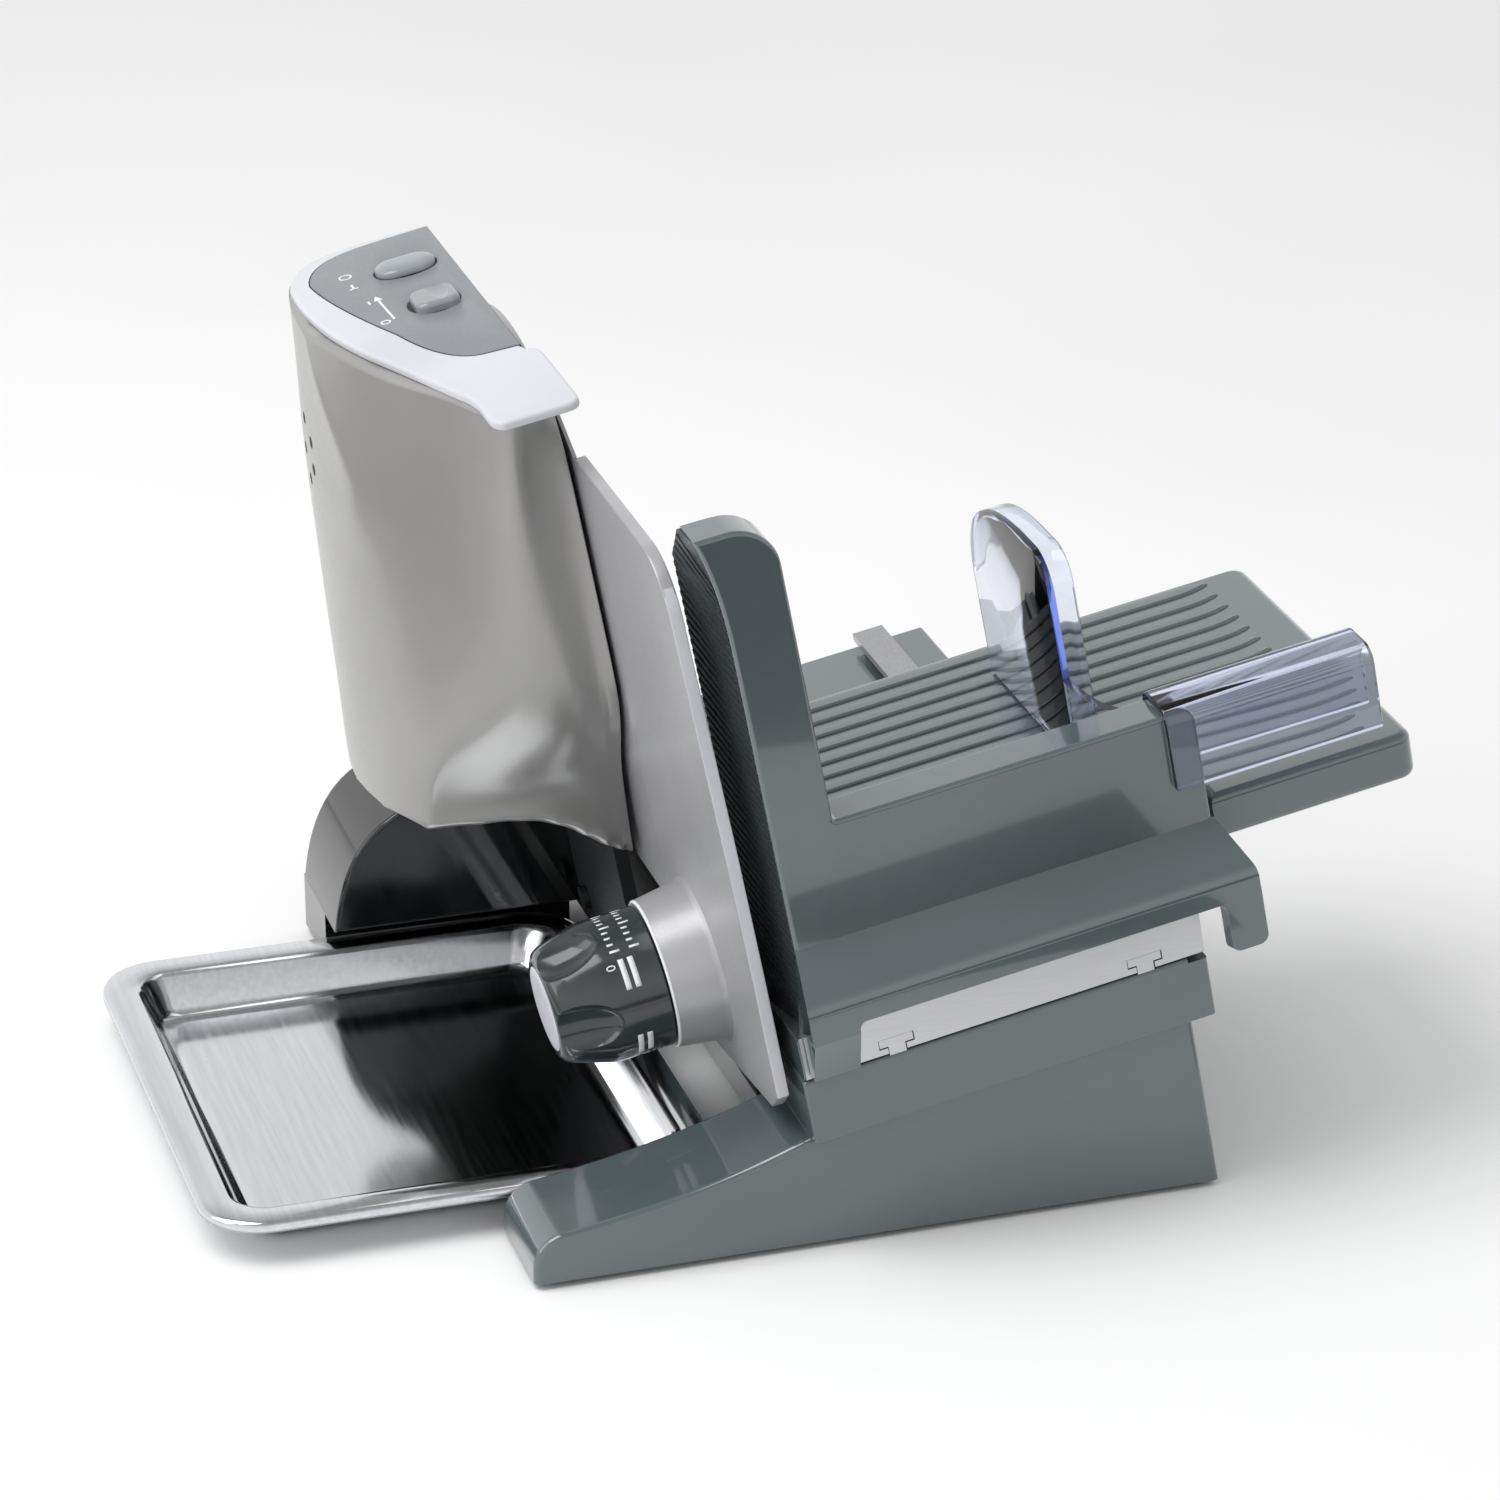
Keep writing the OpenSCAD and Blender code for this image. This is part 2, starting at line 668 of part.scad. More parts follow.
module slide_switch() {
    seat = panel_low + 1.5 + slide_gap;
    color(panel_grey) deck_frame() {
        translate([switch_u - switch_w / 2, switch_v - switch_w / 2, seat]) cube([switch_w, switch_w,
            switch_h]);
        translate([switch_u - switch_stem, switch_v - switch_stem, cap_low - 6])
            cube([2 * switch_stem, 2 * switch_stem, seat - cap_low + 7]);
    }
}

module push_button() {
    rest = cap_top + panel_proud - button_sunk;
    color(panel_grey) deck_frame() {
        translate([0, 0, rest]) linear_extrude(button_h) button_outline(0);
        translate([button_u, button_v, cap_low - 6]) cylinder(h = rest - cap_low + 7, r = stem_r);
    }
}

module switch_block() {
    color([0.85, 0.85, 0.8]) deck_frame() difference() {
        translate([cap_left_back, switch_v - 14, block_low])
            cube([frame_left - cap_left_back - 1, button_v - switch_v + 24, cap_low - block_low]);
        stem_holes();
    }
}

// Rear frame, blade and drive
module rear_frame() {
    foot_low = -2;
    foot_h_w = 36;
    foot_front = frame_front + 8;
    foot_back = base_depth - 8;
    color(steel) deck_frame() difference() {
        union() {
            translate([frame_left, frame_front, foot_low])
                cube([frame_t, base_depth - 2 - frame_front, frame_top - foot_low]);
            disc_u(frame_left - frame_hub_len, frame_hub_len + 1, frame_hub_r, blade_v, blade_w);
            translate([frame_right - 1, foot_front, foot_low])
                cube([deck_left - frame_right + 1, foot_back - foot_front, foot_h_w]);
        }
        disc_u(frame_left - frame_hub_len - 1, frame_hub_len + frame_t + 2, bush_r, blade_v, blade_w);
        for (p = frame_screw_at()) disc_u(frame_left - 1, deck_left - frame_left + 2, screw_r + 0.52,
            p[0], p[1]);
    }
}

function frame_screw_at() = [for (v = [frame_front + 20, pedestal_front - 13]) [v, 12]];

module frame_screws() {
    head_h = 2.5;
    shank_r = screw_r + 0.5;
    color(steel) deck_frame() for (p = frame_screw_at()) {
        disc_u(frame_left - head_h, head_h, 2 * screw_r + 0.5, p[0], p[1]);
        disc_u(frame_left - 1, deck_left - frame_left + screw_bite + 1, shank_r, p[0], p[1]);
    }
}

module shaft_bushes() {
    color([0.72, 0.52, 0.28]) deck_frame() for (u = [frame_left - frame_hub_len, frame_right - bush_len])
        difference() {
            disc_u(u, bush_len, bush_r - 0.02, blade_v, blade_w);
            disc_u(u - 1, bush_len + 2, shaft_r + run_gap, blade_v, blade_w);
        }
}

// The front of the guard: a thin shield left of the blade, behind the gauge plate
module guard_front() {
    low = box_top + 15;
    tall = cap_low - 7 - low;
    front = gauge_back + guard_gap;
    back = frame_front + 12;
    left = gauge_left + 0.2;
    along_u(left, shield_t) polygon([[front, low], [back, low], [back, low + tall], [front + 20, low + tall],
        [front, gauge_top]]);
    translate([frame_right, frame_front + 4, low + 50])
        cube([left - frame_right + shield_t, back - frame_front - 4, tall - 90]);
}

module blade_guard() {
    back = blade_v + guard_r + guard_t + 1;
    color(silver_grey) deck_frame() {
        intersection() {
            difference() {
                disc_u(frame_right, blade_right - frame_right, guard_r + guard_t, blade_v, blade_w);
                disc_u(frame_right - 1, blade_right - frame_right + 2, guard_r, blade_v, blade_w);
            }
            translate([frame_right - 1, frame_front + 4, 0]) cube([20, back, cap_low - 1]);
        }
        guard_front();
    }
}

module blade() {
    bevel = 10;
    color(steel) deck_frame() translate([blade_left, blade_v, blade_w]) rotate([0, 90, 0]) difference() {
        union() {
            cylinder(h = blade_t, r = blade_r - bevel);
            translate([0, 0, 0.4]) cylinder(h = blade_t - 0.4, r1 = blade_r - 0.3, r2 = blade_r);
            cylinder(h = 0.4, r1 = blade_r - bevel, r2 = blade_r - 0.3);
        }
        translate([0, 0, -1]) cylinder(h = blade_t + 2, r = lock_stem_r + 0.1);
    }
}

module blade_hub() {
    color([0.2, 0.2, 0.2]) deck_frame() difference() {
        disc_u(hub_left, blade_left - hub_left - 0.05, hub_r, blade_v, blade_w);
        disc_u(hub_left - 1, 10, shaft_r + 0.02, blade_v, blade_w);
    }
}

module blade_shaft() {
    color(steel) deck_frame() difference() {
        disc_u(shaft_left, blade_left - 0.1 - shaft_left, shaft_r, blade_v, blade_w);
        disc_u(blade_left - lock_stem_len, lock_stem_len + 1, lock_stem_r + 0.02, blade_v, blade_w);
    }
}

module blade_lock() {
    slot_w = 2;
    color(steel) deck_frame() difference() {
        union() {
            disc_u(blade_right + 0.05, lock_t, lock_r, blade_v, blade_w);
            disc_u(blade_left - lock_stem_len + 1, lock_stem_len + blade_t, lock_stem_r, blade_v, blade_w);
        }
        translate([blade_right + 1, blade_v - slot_w / 2, blade_w - lock_r * 0.7]) cube([lock_t, slot_w,
            lock_r * 1.4]);
    }
}

module drive_gear() {
    pitch = 360 / gear_teeth;
    color([0.93, 0.92, 0.86]) deck_frame() difference() {
        along_u(gear_u, gear_w) translate([blade_v, blade_w]) {
            circle(gear_r - tooth_h);
            for (i = [0:gear_teeth - 1]) rotate(i * pitch) polygon([
                [0, -0.9], [gear_r - tooth_h, -1.1], [gear_r, -0.6], [gear_r, 0.6], [gear_r - tooth_h,
                    1.1], [0, 0.9]
            ]);
        }
        disc_u(gear_u - 1, gear_w + 2, shaft_r + 0.02, blade_v, blade_w);
    }
}

// Motor
module on_motor_axis(w) { translate([motor_u, motor_v, w]) children(); }

module motor_can() {
    color([0.3, 0.3, 0.32]) deck_frame() on_motor_axis(motor_low) difference() {
        cylinder(h = motor_h, r = motor_r);
        translate([0, 0, -1]) cylinder(h = motor_h + 2, r = motor_r - can_wall);
    }
}

module motor_end_plates() {
    color(steel) deck_frame() for (w = [motor_low, motor_top - end_plate_t]) on_motor_axis(w) difference() {
        cylinder(h = end_plate_t, r = motor_r - can_wall - 0.02);
        translate([0, 0, -1]) cylinder(h = end_plate_t + 2, r = motor_shaft_r + run_gap);
    }
}

module motor_bracket() {
    band_h = 20;
    band_t = 3;
    foot_half = 10;
    color(steel) deck_frame() difference() {
        on_motor_axis(motor_low + motor_h / 2 - band_h / 2) {
            cylinder(h = band_h, r = motor_r + band_t);
            translate([0, -foot_half, 0]) cube([frame_left - motor_u, 2 * foot_half, band_h]);
        }
        on_motor_axis(motor_low) cylinder(h = motor_h, r = motor_r + 0.02);
        translate([frame_left, motor_v - 2 * motor_r, motor_low]) cube([motor_r, 4 * motor_r, motor_h]);
    }
}

module worm_steady() {
    half = motor_shaft_r + 5;
    color(steel) deck_frame() difference() {
        on_motor_axis(steady_low) translate([-half, -half, 0])
            cube([frame_left - motor_u + half, 2 * half, steady_h]);
        on_motor_axis(steady_low - 1) cylinder(h = steady_h + 2, r = motor_shaft_r + run_gap);
    }
}

module motor_shaft() {
    groove = 1.2;
    grooves = 8;
    step = 2 * (worm_half - 4) / grooves;
    color(steel) deck_frame() difference() {
        union() {
            on_motor_axis(motor_shaft_low) cylinder(h = motor_shaft_top - motor_shaft_low, r = motor_shaft_r);
            on_motor_axis(blade_w - worm_half) cylinder(h = 2 * worm_half, r = worm_r);
        }
        for (i = [0:grooves]) on_motor_axis(blade_w - worm_half + 4 + i * step) rotate_extrude()
            translate([worm_r, 0]) circle(groove);
    }
}

module armature() {
    margin = 8;
    color([0.55, 0.35, 0.2]) deck_frame() on_motor_axis(motor_low + margin) difference() {
        cylinder(h = motor_h - 2 * margin, r = armature_r);
        translate([0, 0, -1]) cylinder(h = motor_h, r = motor_shaft_r + 0.02);
    }
}

module motor_fan() {
    vanes = 8;
    fan_r = motor_r - can_wall - 3;
    color(black) deck_frame() on_motor_axis(motor_low + end_plate_t + 0.8) difference() {
        union() {
            cylinder(h = 1.2, r = fan_r);
            for (i = [0:vanes - 1]) rotate(i * 360 / vanes) translate([motor_shaft_r + 1, -0.5, 0])
                cube([fan_r - motor_shaft_r - 2, 1, 3]);
            cylinder(h = 3.6, r = motor_shaft_r + 2);
        }
        translate([0, 0, -1]) cylinder(h = 6, r = motor_shaft_r + 0.02);
    }
}

// Carriage
module wall_profile() {
    edge_r = 5;
    polygon(concat(
        [[wall_back, run_top]],
        arc([wall_back - 3, wall_top - 3], 3, 0, 90, 5),
        arc([wall_front + edge_r, wall_top - edge_r], edge_r, 90, 180, 8),
        [[wall_front, run_top]]
    ));
}

module ledge_profile() {
    shelf_t = 6;
    stem = wall_front - 3.5;
    polygon([
        [wall_back, run_top], [wall_back, ledge_back_w], [wall_front, ledge_back_w],
        [ledge_front + 1.5, lip_top + 0.8], [ledge_front, lip_top - 1.5], [ledge_front, lip_low],
        [ledge_front + lip_t, lip_low], [ledge_front + lip_t, lip_top - shelf_t + 2],
        [stem, ledge_back_w - shelf_t - 3], [stem, run_top]
    ]);
}

module upright_outline() {
    right = carriage_left + upright_w;
    polygon(concat(
        [[carriage_left, run_top], [right, run_top]],
        arc([right - upright_round, upright_top - upright_round], upright_round, 0, 90),
        arc([carriage_left + 3, upright_top - 3], 3, 90, 180, 5)
    ));
}

module upright_profile() {
    crown = 4;
    polygon(concat(
        [[wall_front, run_top], [wall_back, run_top], [wall_back, upright_top]],
        arc([wall_front + crown, upright_top - crown], crown, 90, 180)
    ));
}

module carriage() {
    color(grey_green) deck_frame() {
        intersection() {
            along_y(wall_front, front_wall_t) upright_outline();
            along_u(carriage_left, upright_w) upright_profile();
        }
        translate([carriage_left, wall_back - 1, run_top])
            cube([table_left - carriage_left - 0.2, side_guard + 1, upright_top - side_guard - run_top]);
        along_u(carriage_left, front_wall_len) wall_profile();
        along_u(carriage_left, front_wall_len) ledge_profile();
        along_u(wall_right - 1, ledge_right - wall_right + 1) intersection() {
            ledge_profile();
            translate([ledge_front, 0]) square([table_nose - 0.4 - ledge_front, wall_top]);
        }
        along_u(carriage_left, skirt_w) polygon([
            [ledge_front, lip_low + 1], [-box_proud - 4, skirt_low], [-box_proud - 0.4, skirt_low],
            [-box_proud - 0.4, run_top], [wall_front, run_top + 4]
        ]);
        translate([ledge_right - leg_w, ledge_front, leg_low]) cube([leg_w, wall, lip_low - leg_low + 2]);
        translate([ledge_right - wall, ledge_front, leg_low])
            cube([wall, wall_back - ledge_front, ledge_back_w - leg_low - 16]);
    }
}

module table_outline(inset) {
    polygon([
        [table_left + inset, table_front + inset], [wall_right + 0.4 + inset, table_front + inset],
        [wall_right + 0.4 + inset, table_nose + inset], [table_right - inset, table_nose + inset],
        [table_right - inset, table_back - inset], [table_left + inset, table_back - inset]
    ]);
}

module carriage_table() {
    ridges = floor((table_depth - 2 * ridge_end) / ridge_pitch);
    webs = [table_left, wall_right - 18];
    color(grey_green) deck_frame() {
        difference() {
            translate([0, 0, table_low]) linear_extrude(table_rim_h) table_outline(0);
            translate([0, 0, table_low - 1]) linear_extrude(table_rim_h - wall + 1) table_outline(wall);
        }
        for (i = [0:ridges]) translate([table_left + ridge_end,
            table_front + ridge_end + i * ridge_pitch, table_top - 1])
            cube([table_len - 2 * ridge_end, ridge_w, ridge_h + 1]);
        for (u = webs) translate([u, table_front, run_top])
            cube([wall, runner_depth - 20, table_top - run_top - 1]);
    }
}

module carriage_runner() {
    color(pale_grey) deck_frame() difference() {
        translate([carriage_left + 1, -box_proud + 0.6, runner_low])
            cube([deck_len - 2, runner_depth, runner_h]);
        for (u = rail_u) along_y(-box_proud - 1, runner_depth + 2 * box_proud) rail_outline(u, slide_gap);
    }
}

// Pusher
module clip_profile() {
    r = 5;
    difference() {
        polygon(concat(
            [[clip_front, clip_top - clip_drop]],
            [[clip_back, clip_top - clip_drop]],
            arc([clip_back - r, clip_top - r], r, 0, 90, 6),
            arc([clip_front + r, clip_top - r], r, 90, 180, 6)
        ));
        translate([clip_front + pusher_t, clip_top - clip_drop - 1])
            square([clip_back - clip_front - 2 * pusher_t, clip_drop + 1 - pusher_t]);
    }
}

module pusher() {
    web_start = clip_left + pusher_t;
    spike_rows = 6;
    spike_step = 12;
    color([0.55, 0.66, 0.9, 0.5]) deck_frame() {
        along_u(clip_left, clip_len) clip_profile();
        translate([0, 0, pusher_low]) linear_extrude(clip_top - pusher_low - pusher_t) polygon(concat(
            bend([web_start, clip_back], [spiked_u + pusher_t, clip_back], [spiked_u + pusher_t,
                spiked_front + 4]),
            turned(bend([web_start, clip_back - pusher_t], [spiked_u, clip_back - pusher_t],
                        [spiked_u, spiked_front + 4]))
        ));
        along_u(spiked_u, pusher_t) polygon(concat(
            [[spiked_front, pusher_low], [spiked_front + spiked_depth, pusher_low]],
            arc([spiked_front + spiked_depth - 24, pusher_low + spiked_h - 24], 24, 0, 90),
            arc([spiked_front + 10, pusher_low + spiked_h - 10], 10, 90, 180)
        ));
        for (i = [0:spike_rows - 1], j = [0:4]) translate([spiked_u + 0.5, spiked_front + 10 + i * spike_step,
            pusher_low + 10 + j * spike_step]) rotate([0, -90, 0]) cylinder(h = spike_len, r1 = spike_r,
                r2 = 0.3);
    }
}

// Gauge plate and knob
module gauge_outline() {
    front = 3;
    corner = 22;
    polygon(concat(
        [[front, 38], [front + 11, 29], [knob_v + 24, gauge_low], [gauge_back + 6, gauge_low],
            [gauge_back, box_top + 14], [gauge_back, gauge_top]],
        arc([front + 9 + corner, gauge_top - corner], corner, 90, 172, 10),
        [[front + 2, 130], [front, 80]]
    ));
}

module gauge_plate() {
    color(silver_grey) deck_frame() difference() {
        union() {
            along_u(gauge_left, gauge_t) gauge_outline();
            translate([boss_end, knob_v, knob_w]) rotate([0, 90, 0])
                cylinder(h = boss_len + 1, r1 = boss_end_r, r2 = boss_r);
            disc_u(gauge_left - guide_boss_len, guide_boss_len + 1, guide_boss_r, guide_v, guide_w);
        }
        disc_u(boss_end - 1, boss_len, neck_r + run_gap, knob_v, knob_w);
        disc_u(clip_u - 0.4, gauge_right - clip_u + 2, cavity_r, knob_v, knob_w);
        disc_u(gauge_left - guide_boss_len - 1, guide_boss_len + gauge_t + 2, guide_r + run_gap, guide_v,
            guide_w);
    }
}

module thickness_knob() {
    scoops = 5;
    scoop_r = 24;
    tip_r = knob_r - 5;
    color([0.2, 0.22, 0.23]) deck_frame() difference() {
        union() {
            disc_u(grip_start, knob_base_len, knob_r, knob_v, knob_w);
            translate([knob_end, knob_v, knob_w]) rotate([0, 90, 0]) rotate_extrude() polygon(concat(
                [[0, 0], [tip_r - 4, 0]], arc([tip_r - 4, 4], 4, -90, 0, 6), [[knob_r, knob_grip_len],
                    [0, knob_grip_len]]
            ));
            disc_u(knob_start - 1, neck_end - knob_start + 1, neck_r, knob_v, knob_w);
        }
        for (i = [0:scoops - 1]) translate([knob_end + 7, knob_v, knob_w]) rotate([i * 360 / scoops + 20,
            0, 0])
            translate([0, 0, tip_r + scoop_r - 4]) sphere(scoop_r);
        disc_u(spindle_end - 4, neck_end - spindle_end + 5, spindle_r + run_gap, knob_v, knob_w);
        disc_u(knob_end - 1, 2, tip_r - 5, knob_v, knob_w);
        difference() {
            disc_u(clip_u, clip_t + 0.2, neck_r + 1, knob_v, knob_w);
            disc_u(clip_u - 1, clip_t + 2, neck_r - 1.5, knob_v, knob_w);
        }
    }
}

module knob_clip() {
    color(steel) deck_frame() difference() {
        disc_u(clip_u + 0.1, clip_t, neck_r + 3, knob_v, knob_w);
        disc_u(clip_u - 1, clip_t + 2, neck_r - 1.48, knob_v, knob_w);
    }
}

module knob_cap() {
    tip_r = knob_r - 5;
    color(pale_grey) deck_frame() disc_u(knob_end, 1, tip_r - 5.1, knob_v, knob_w);
}

module gauge_bracket() {
    margin = 14;
    left = deck_left - bracket_t;
    color(steel) deck_frame() difference() {
        along_u(left, bracket_t) translate([knob_v - margin, 5])
            square([guide_v - knob_v + margin + 8, knob_w + 9]);
        disc_u(left - 1, bracket_t + 2, spindle_r - 0.98, knob_v, knob_w);
        disc_u(left - 1, bracket_t + 2, guide_r - 0.98, guide_v, guide_w);
    }
}

module stepped_pin(tip, r, v, w) {
    shoulder = deck_left - bracket_t - 0.02;
    disc_u(tip, shoulder - tip, r, v, w);
    disc_u(tip, deck_left - tip, r - 1, v, w);
}

module gauge_spindle() { color(steel) deck_frame() stepped_pin(spindle_end, spindle_r, knob_v, knob_w); }
module gauge_guide_pin() { color(steel) deck_frame() stepped_pin(deck_left - guide_len, guide_r, guide_v,
    guide_w); }

// Tray
module tray_sheet(inset) {
    rounded_square(tray_left + inset, tray_front + inset, tray_len - 2 * inset, tray_depth - 2 * inset,
                   tray_corner - inset);
}

module slice_tray() {
    color(steel) part_frame() {
        linear_extrude(sheet_t) tray_sheet(tray_rim);
        linear_extrude(tray_h) difference() {
            tray_sheet(tray_rim - sheet_t);
            tray_sheet(tray_rim);
        }
        translate([0, 0, tray_h - sheet_t]) linear_extrude(sheet_t) difference() {
            tray_sheet(0);
            tray_sheet(tray_rim);
        }
    }
}

base_shell();
deck_box();
guide_rails();
base_plate();
feet();
pedestal();
rear_frame();
motor_housing();
top_cap();
control_panel();
blade_guard();
shaft_bushes();
motor_can();
motor_end_plates();
motor_bracket();
worm_steady();
switch_block();
gauge_bracket();
gauge_spindle();
gauge_guide_pin();
cord_gland();
frame_screws();
base_screws();
blade();
blade_hub();
blade_shaft();
drive_gear();
blade_lock();
motor_shaft();
armature();
motor_fan();
carriage();
carriage_table();
carriage_runner();
pusher();
gauge_plate();
thickness_knob();
knob_clip();
knob_cap();
slide_switch();
push_button();
slice_tray();
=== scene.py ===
# %% [markdown]
# Electric food slicer
# The solids of the slicer are packed as a fixed frame, with one empty for each body that moves.
# This lesson dresses that frame: most outer shells are modelled again with rounded edges and drawn curves,
# the hidden works keep their solids, and every surface gets the finish of its real material.

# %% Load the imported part
import json
import math
import bmesh
import bpy
from mathutils import Matrix, Vector

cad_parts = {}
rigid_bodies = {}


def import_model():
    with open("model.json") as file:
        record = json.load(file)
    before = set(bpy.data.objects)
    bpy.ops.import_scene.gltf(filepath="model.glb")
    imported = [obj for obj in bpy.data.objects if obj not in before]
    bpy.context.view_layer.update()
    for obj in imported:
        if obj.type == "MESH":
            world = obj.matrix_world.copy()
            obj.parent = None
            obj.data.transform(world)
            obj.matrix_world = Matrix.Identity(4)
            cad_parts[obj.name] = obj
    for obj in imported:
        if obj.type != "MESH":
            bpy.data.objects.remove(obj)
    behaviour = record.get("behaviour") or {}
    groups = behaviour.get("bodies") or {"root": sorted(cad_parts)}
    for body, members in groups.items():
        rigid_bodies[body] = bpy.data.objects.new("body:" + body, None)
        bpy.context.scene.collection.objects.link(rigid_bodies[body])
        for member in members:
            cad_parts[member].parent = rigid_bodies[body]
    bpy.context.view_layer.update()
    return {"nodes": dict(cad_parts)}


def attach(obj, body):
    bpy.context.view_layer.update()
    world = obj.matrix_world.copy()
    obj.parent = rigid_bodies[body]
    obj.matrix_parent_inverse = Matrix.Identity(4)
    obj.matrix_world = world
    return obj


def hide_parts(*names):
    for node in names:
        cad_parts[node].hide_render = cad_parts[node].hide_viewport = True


for left_over in [o for o in bpy.data.objects if o.name in ("Cube", "Light", "Camera")]:
    bpy.data.objects.remove(left_over)
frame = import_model()
scene = bpy.context.scene
scene.view_settings.view_transform = "Standard"

# %% [markdown]
# Two measuring frames
# The base and the tray stand level, while nearly everything else leans 10.9 degrees with the deck.
# So a shape is drawn in millimetres, either in level coordinates (x, y, z from the nose of the arm) or in
# deck coordinates (u up along the deck, v to the back, w away from the deck), and one matrix carries it into
# the part. Sizes that several pieces share are named here too, and an axis along u is a pair of v and w.

# %% Millimetres to the part
LEAN = math.radians(10.9)
FOOT = 2.5
MIDDLE = (-0.10783532, -0.138, 0.0)
LEVEL = Matrix.Translation(MIDDLE) @ Matrix.Scale(0.001, 4)
DECK = (Matrix.Translation(Vector(MIDDLE) + Vector((0, 0, FOOT / 1000))) @ Matrix.Rotation(-LEAN, 4, "Y")
        @ Matrix.Scale(0.001, 4))
DECK_LEFT, DECK_LOW, DECK_TOP = 102.5, 20.8, 45.5
BACK = 290
BLADE_AXIS = (202, 163)
KNOB_AXIS = (76, 56.7)


def on_deck(u, w):
    """Level x and z of a point that is given on the deck."""
    return (u * math.cos(LEAN) - w * math.sin(LEAN), u * math.sin(LEAN) + w * math.cos(LEAN) + FOOT)


print("deck's left end, level:", [round(c, 1) for c in on_deck(DECK_LEFT, DECK_TOP)])

# %% [markdown]
# The camera
# The photograph was taken from the front left, a little above the machine, with a long lens.
# Its place was worked out from the straight edges of the base and deck, so it is given directly here.

# %% Place the camera
camera_data = bpy.data.cameras.new("photo_camera")
camera_data.lens = 128.93
camera_data.sensor_width = 36
camera = bpy.data.objects.new("photo_camera", camera_data)
right = Vector((0.95450, -0.29820, 0))
up = Vector((0.12305, 0.39386, 0.91090))
turned = Matrix((right, up, right.cross(up))).transposed().to_4x4()
camera.matrix_world = Matrix.Translation((-0.50384, -1.64590, 0.90413)) @ turned
scene.collection.objects.link(camera)
scene.camera = camera
print("camera at", [round(c, 2) for c in camera.location])

# %% [markdown]
# Materials
# One function turns a written sRGB colour to the linear values that the shaders use, and one adds a node.
# The plastics and paints share a recipe: a slow drift of colour as moulded resin has, a fine surface texture
# as bump, and a roughness that varies with it. Each call then sets what its real material shows.

# %% Helpers for materials
def linear(hex_code):
    channels = [int(hex_code[i:i + 2], 16) / 255 for i in (1, 3, 5)]
    return [c / 12.92 if c <= 0.04045 else ((c + 0.055) / 1.055) ** 2.4 for c in channels] + [1.0]


def grey(value):
    return (value, value, value, 1)


def node(tree, kind, settings=None, links=None):
    made = tree.nodes.new(kind)
    for name, value in (settings or {}).items():
        if name in made.inputs:
            made.inputs[name].default_value = value
        else:
            setattr(made, name, value)
    for name, source in (links or {}).items():
        tree.links.new(source, made.inputs[name])
    return made


def new_material(name):
    material = bpy.data.materials.new(name)
    material.use_nodes = True
    tree = material.node_tree
    shader = tree.nodes["Principled BSDF"]
    place = node(tree, "ShaderNodeTexCoord").outputs["Object"]
    return material, tree, shader, place


def noise(tree, place, size_mm, detail=2.0):
    """A soft noise with spots of about that size."""
    spots = node(tree, "ShaderNodeTexNoise", {"Scale": 1000 / size_mm, "Detail": detail}, {"Vector": place})
    return spots.outputs["Fac"]


def two_tone(tree, source, dark, light, low=0.3, high=0.7):
    """A texture's values become tones between two colours."""
    ramp = node(tree, "ShaderNodeValToRGB", links={"Fac": source})
    first, last = ramp.color_ramp.elements
    first.position, last.position = low, high
    first.color, last.color = dark, light
    return ramp.outputs["Color"]


def colour(tree, shader, pattern, dark, light):
    """The surface's colour follows a pattern between two written colours."""
    tree.links.new(two_tone(tree, pattern, linear(dark), linear(light)), shader.inputs["Base Color"])


def roughen(tree, shader, pattern, rough):
    """The surface's roughness follows a pattern between two values."""
    tree.links.new(two_tone(tree, pattern, grey(rough[0]), grey(rough[1])), shader.inputs["Roughness"])


def raise_grain(tree, shader, pattern, depth_mm, strength):
    """A pattern stands out from the surface as bump."""
    bump = node(tree, "ShaderNodeBump", {"Distance": depth_mm / 1000, "Strength": strength},
                {"Height": pattern})
    tree.links.new(bump.outputs["Normal"], shader.inputs["Normal"])


def finish(name, dark, light, drift_mm, grain_mm, bump_mm, rough, **sockets):
    """A moulded or painted surface: its colour drifts over drift_mm, and a fine grain varies its gloss."""
    material, tree, shader, place = new_material(name)
    drift, grain = noise(tree, place, drift_mm, 3.0), noise(tree, place, grain_mm)
    colour(tree, shader, drift, dark, light)
    roughen(tree, shader, grain, rough)
    raise_grain(tree, shader, grain, bump_mm, 0.6)
    for socket, value in sockets.items():
        shader.inputs[socket.replace("_", " ")].default_value = value
    return material


# %% [markdown]
# Plastics, paint and rubber
# Base and carriage are glossy moulded ABS of a grey with some green in it. The housing and the thickness plate
# are ABS with a silver paint, whose metal flakes make it half metallic under a thin clear coat. Cap and panel
# are satin, the pedestal is polished black, and the knob is a polished dark grey. Powder coat and rubber are
# matt, with a grain that breaks up their highlights.

# %% Make the plastics
grey_green_abs = finish("grey_green_moulded_abs", "#4F5B5D", "#576365", 90, 4.0, 0.008, (0.12, 0.18),
                        IOR=1.55, Coat_Weight=1.0, Coat_Roughness=0.04, Coat_IOR=1.6)
silver_paint = finish("silver_metallic_paint", "#9A9997", "#A2A19F", 70, 1.2, 0.006, (0.28, 0.36),
                      Metallic=0.4, Coat_Weight=0.3, Coat_Roughness=0.12)
plate_paint = finish("grey_metallic_paint", "#ABABAE", "#B4B4B7", 60, 1.2, 0.008, (0.32, 0.42),
                     Metallic=0.3, Coat_Weight=0.2, Coat_Roughness=0.15)
# The cap's pale ABS is also laid on the thickness plate's forward faces as a painted highlight.
pale_abs_and_plate_highlight = finish("pale_grey_satin_abs_and_plate_highlight", "#C9CAD0", "#D3D4D9", 60, 1.5, 0.010, (0.36, 0.46), IOR=1.53)
panel_abs = finish("mid_grey_satin_abs", "#7F8387", "#888C90", 50, 1.5, 0.010, (0.34, 0.44), IOR=1.53)
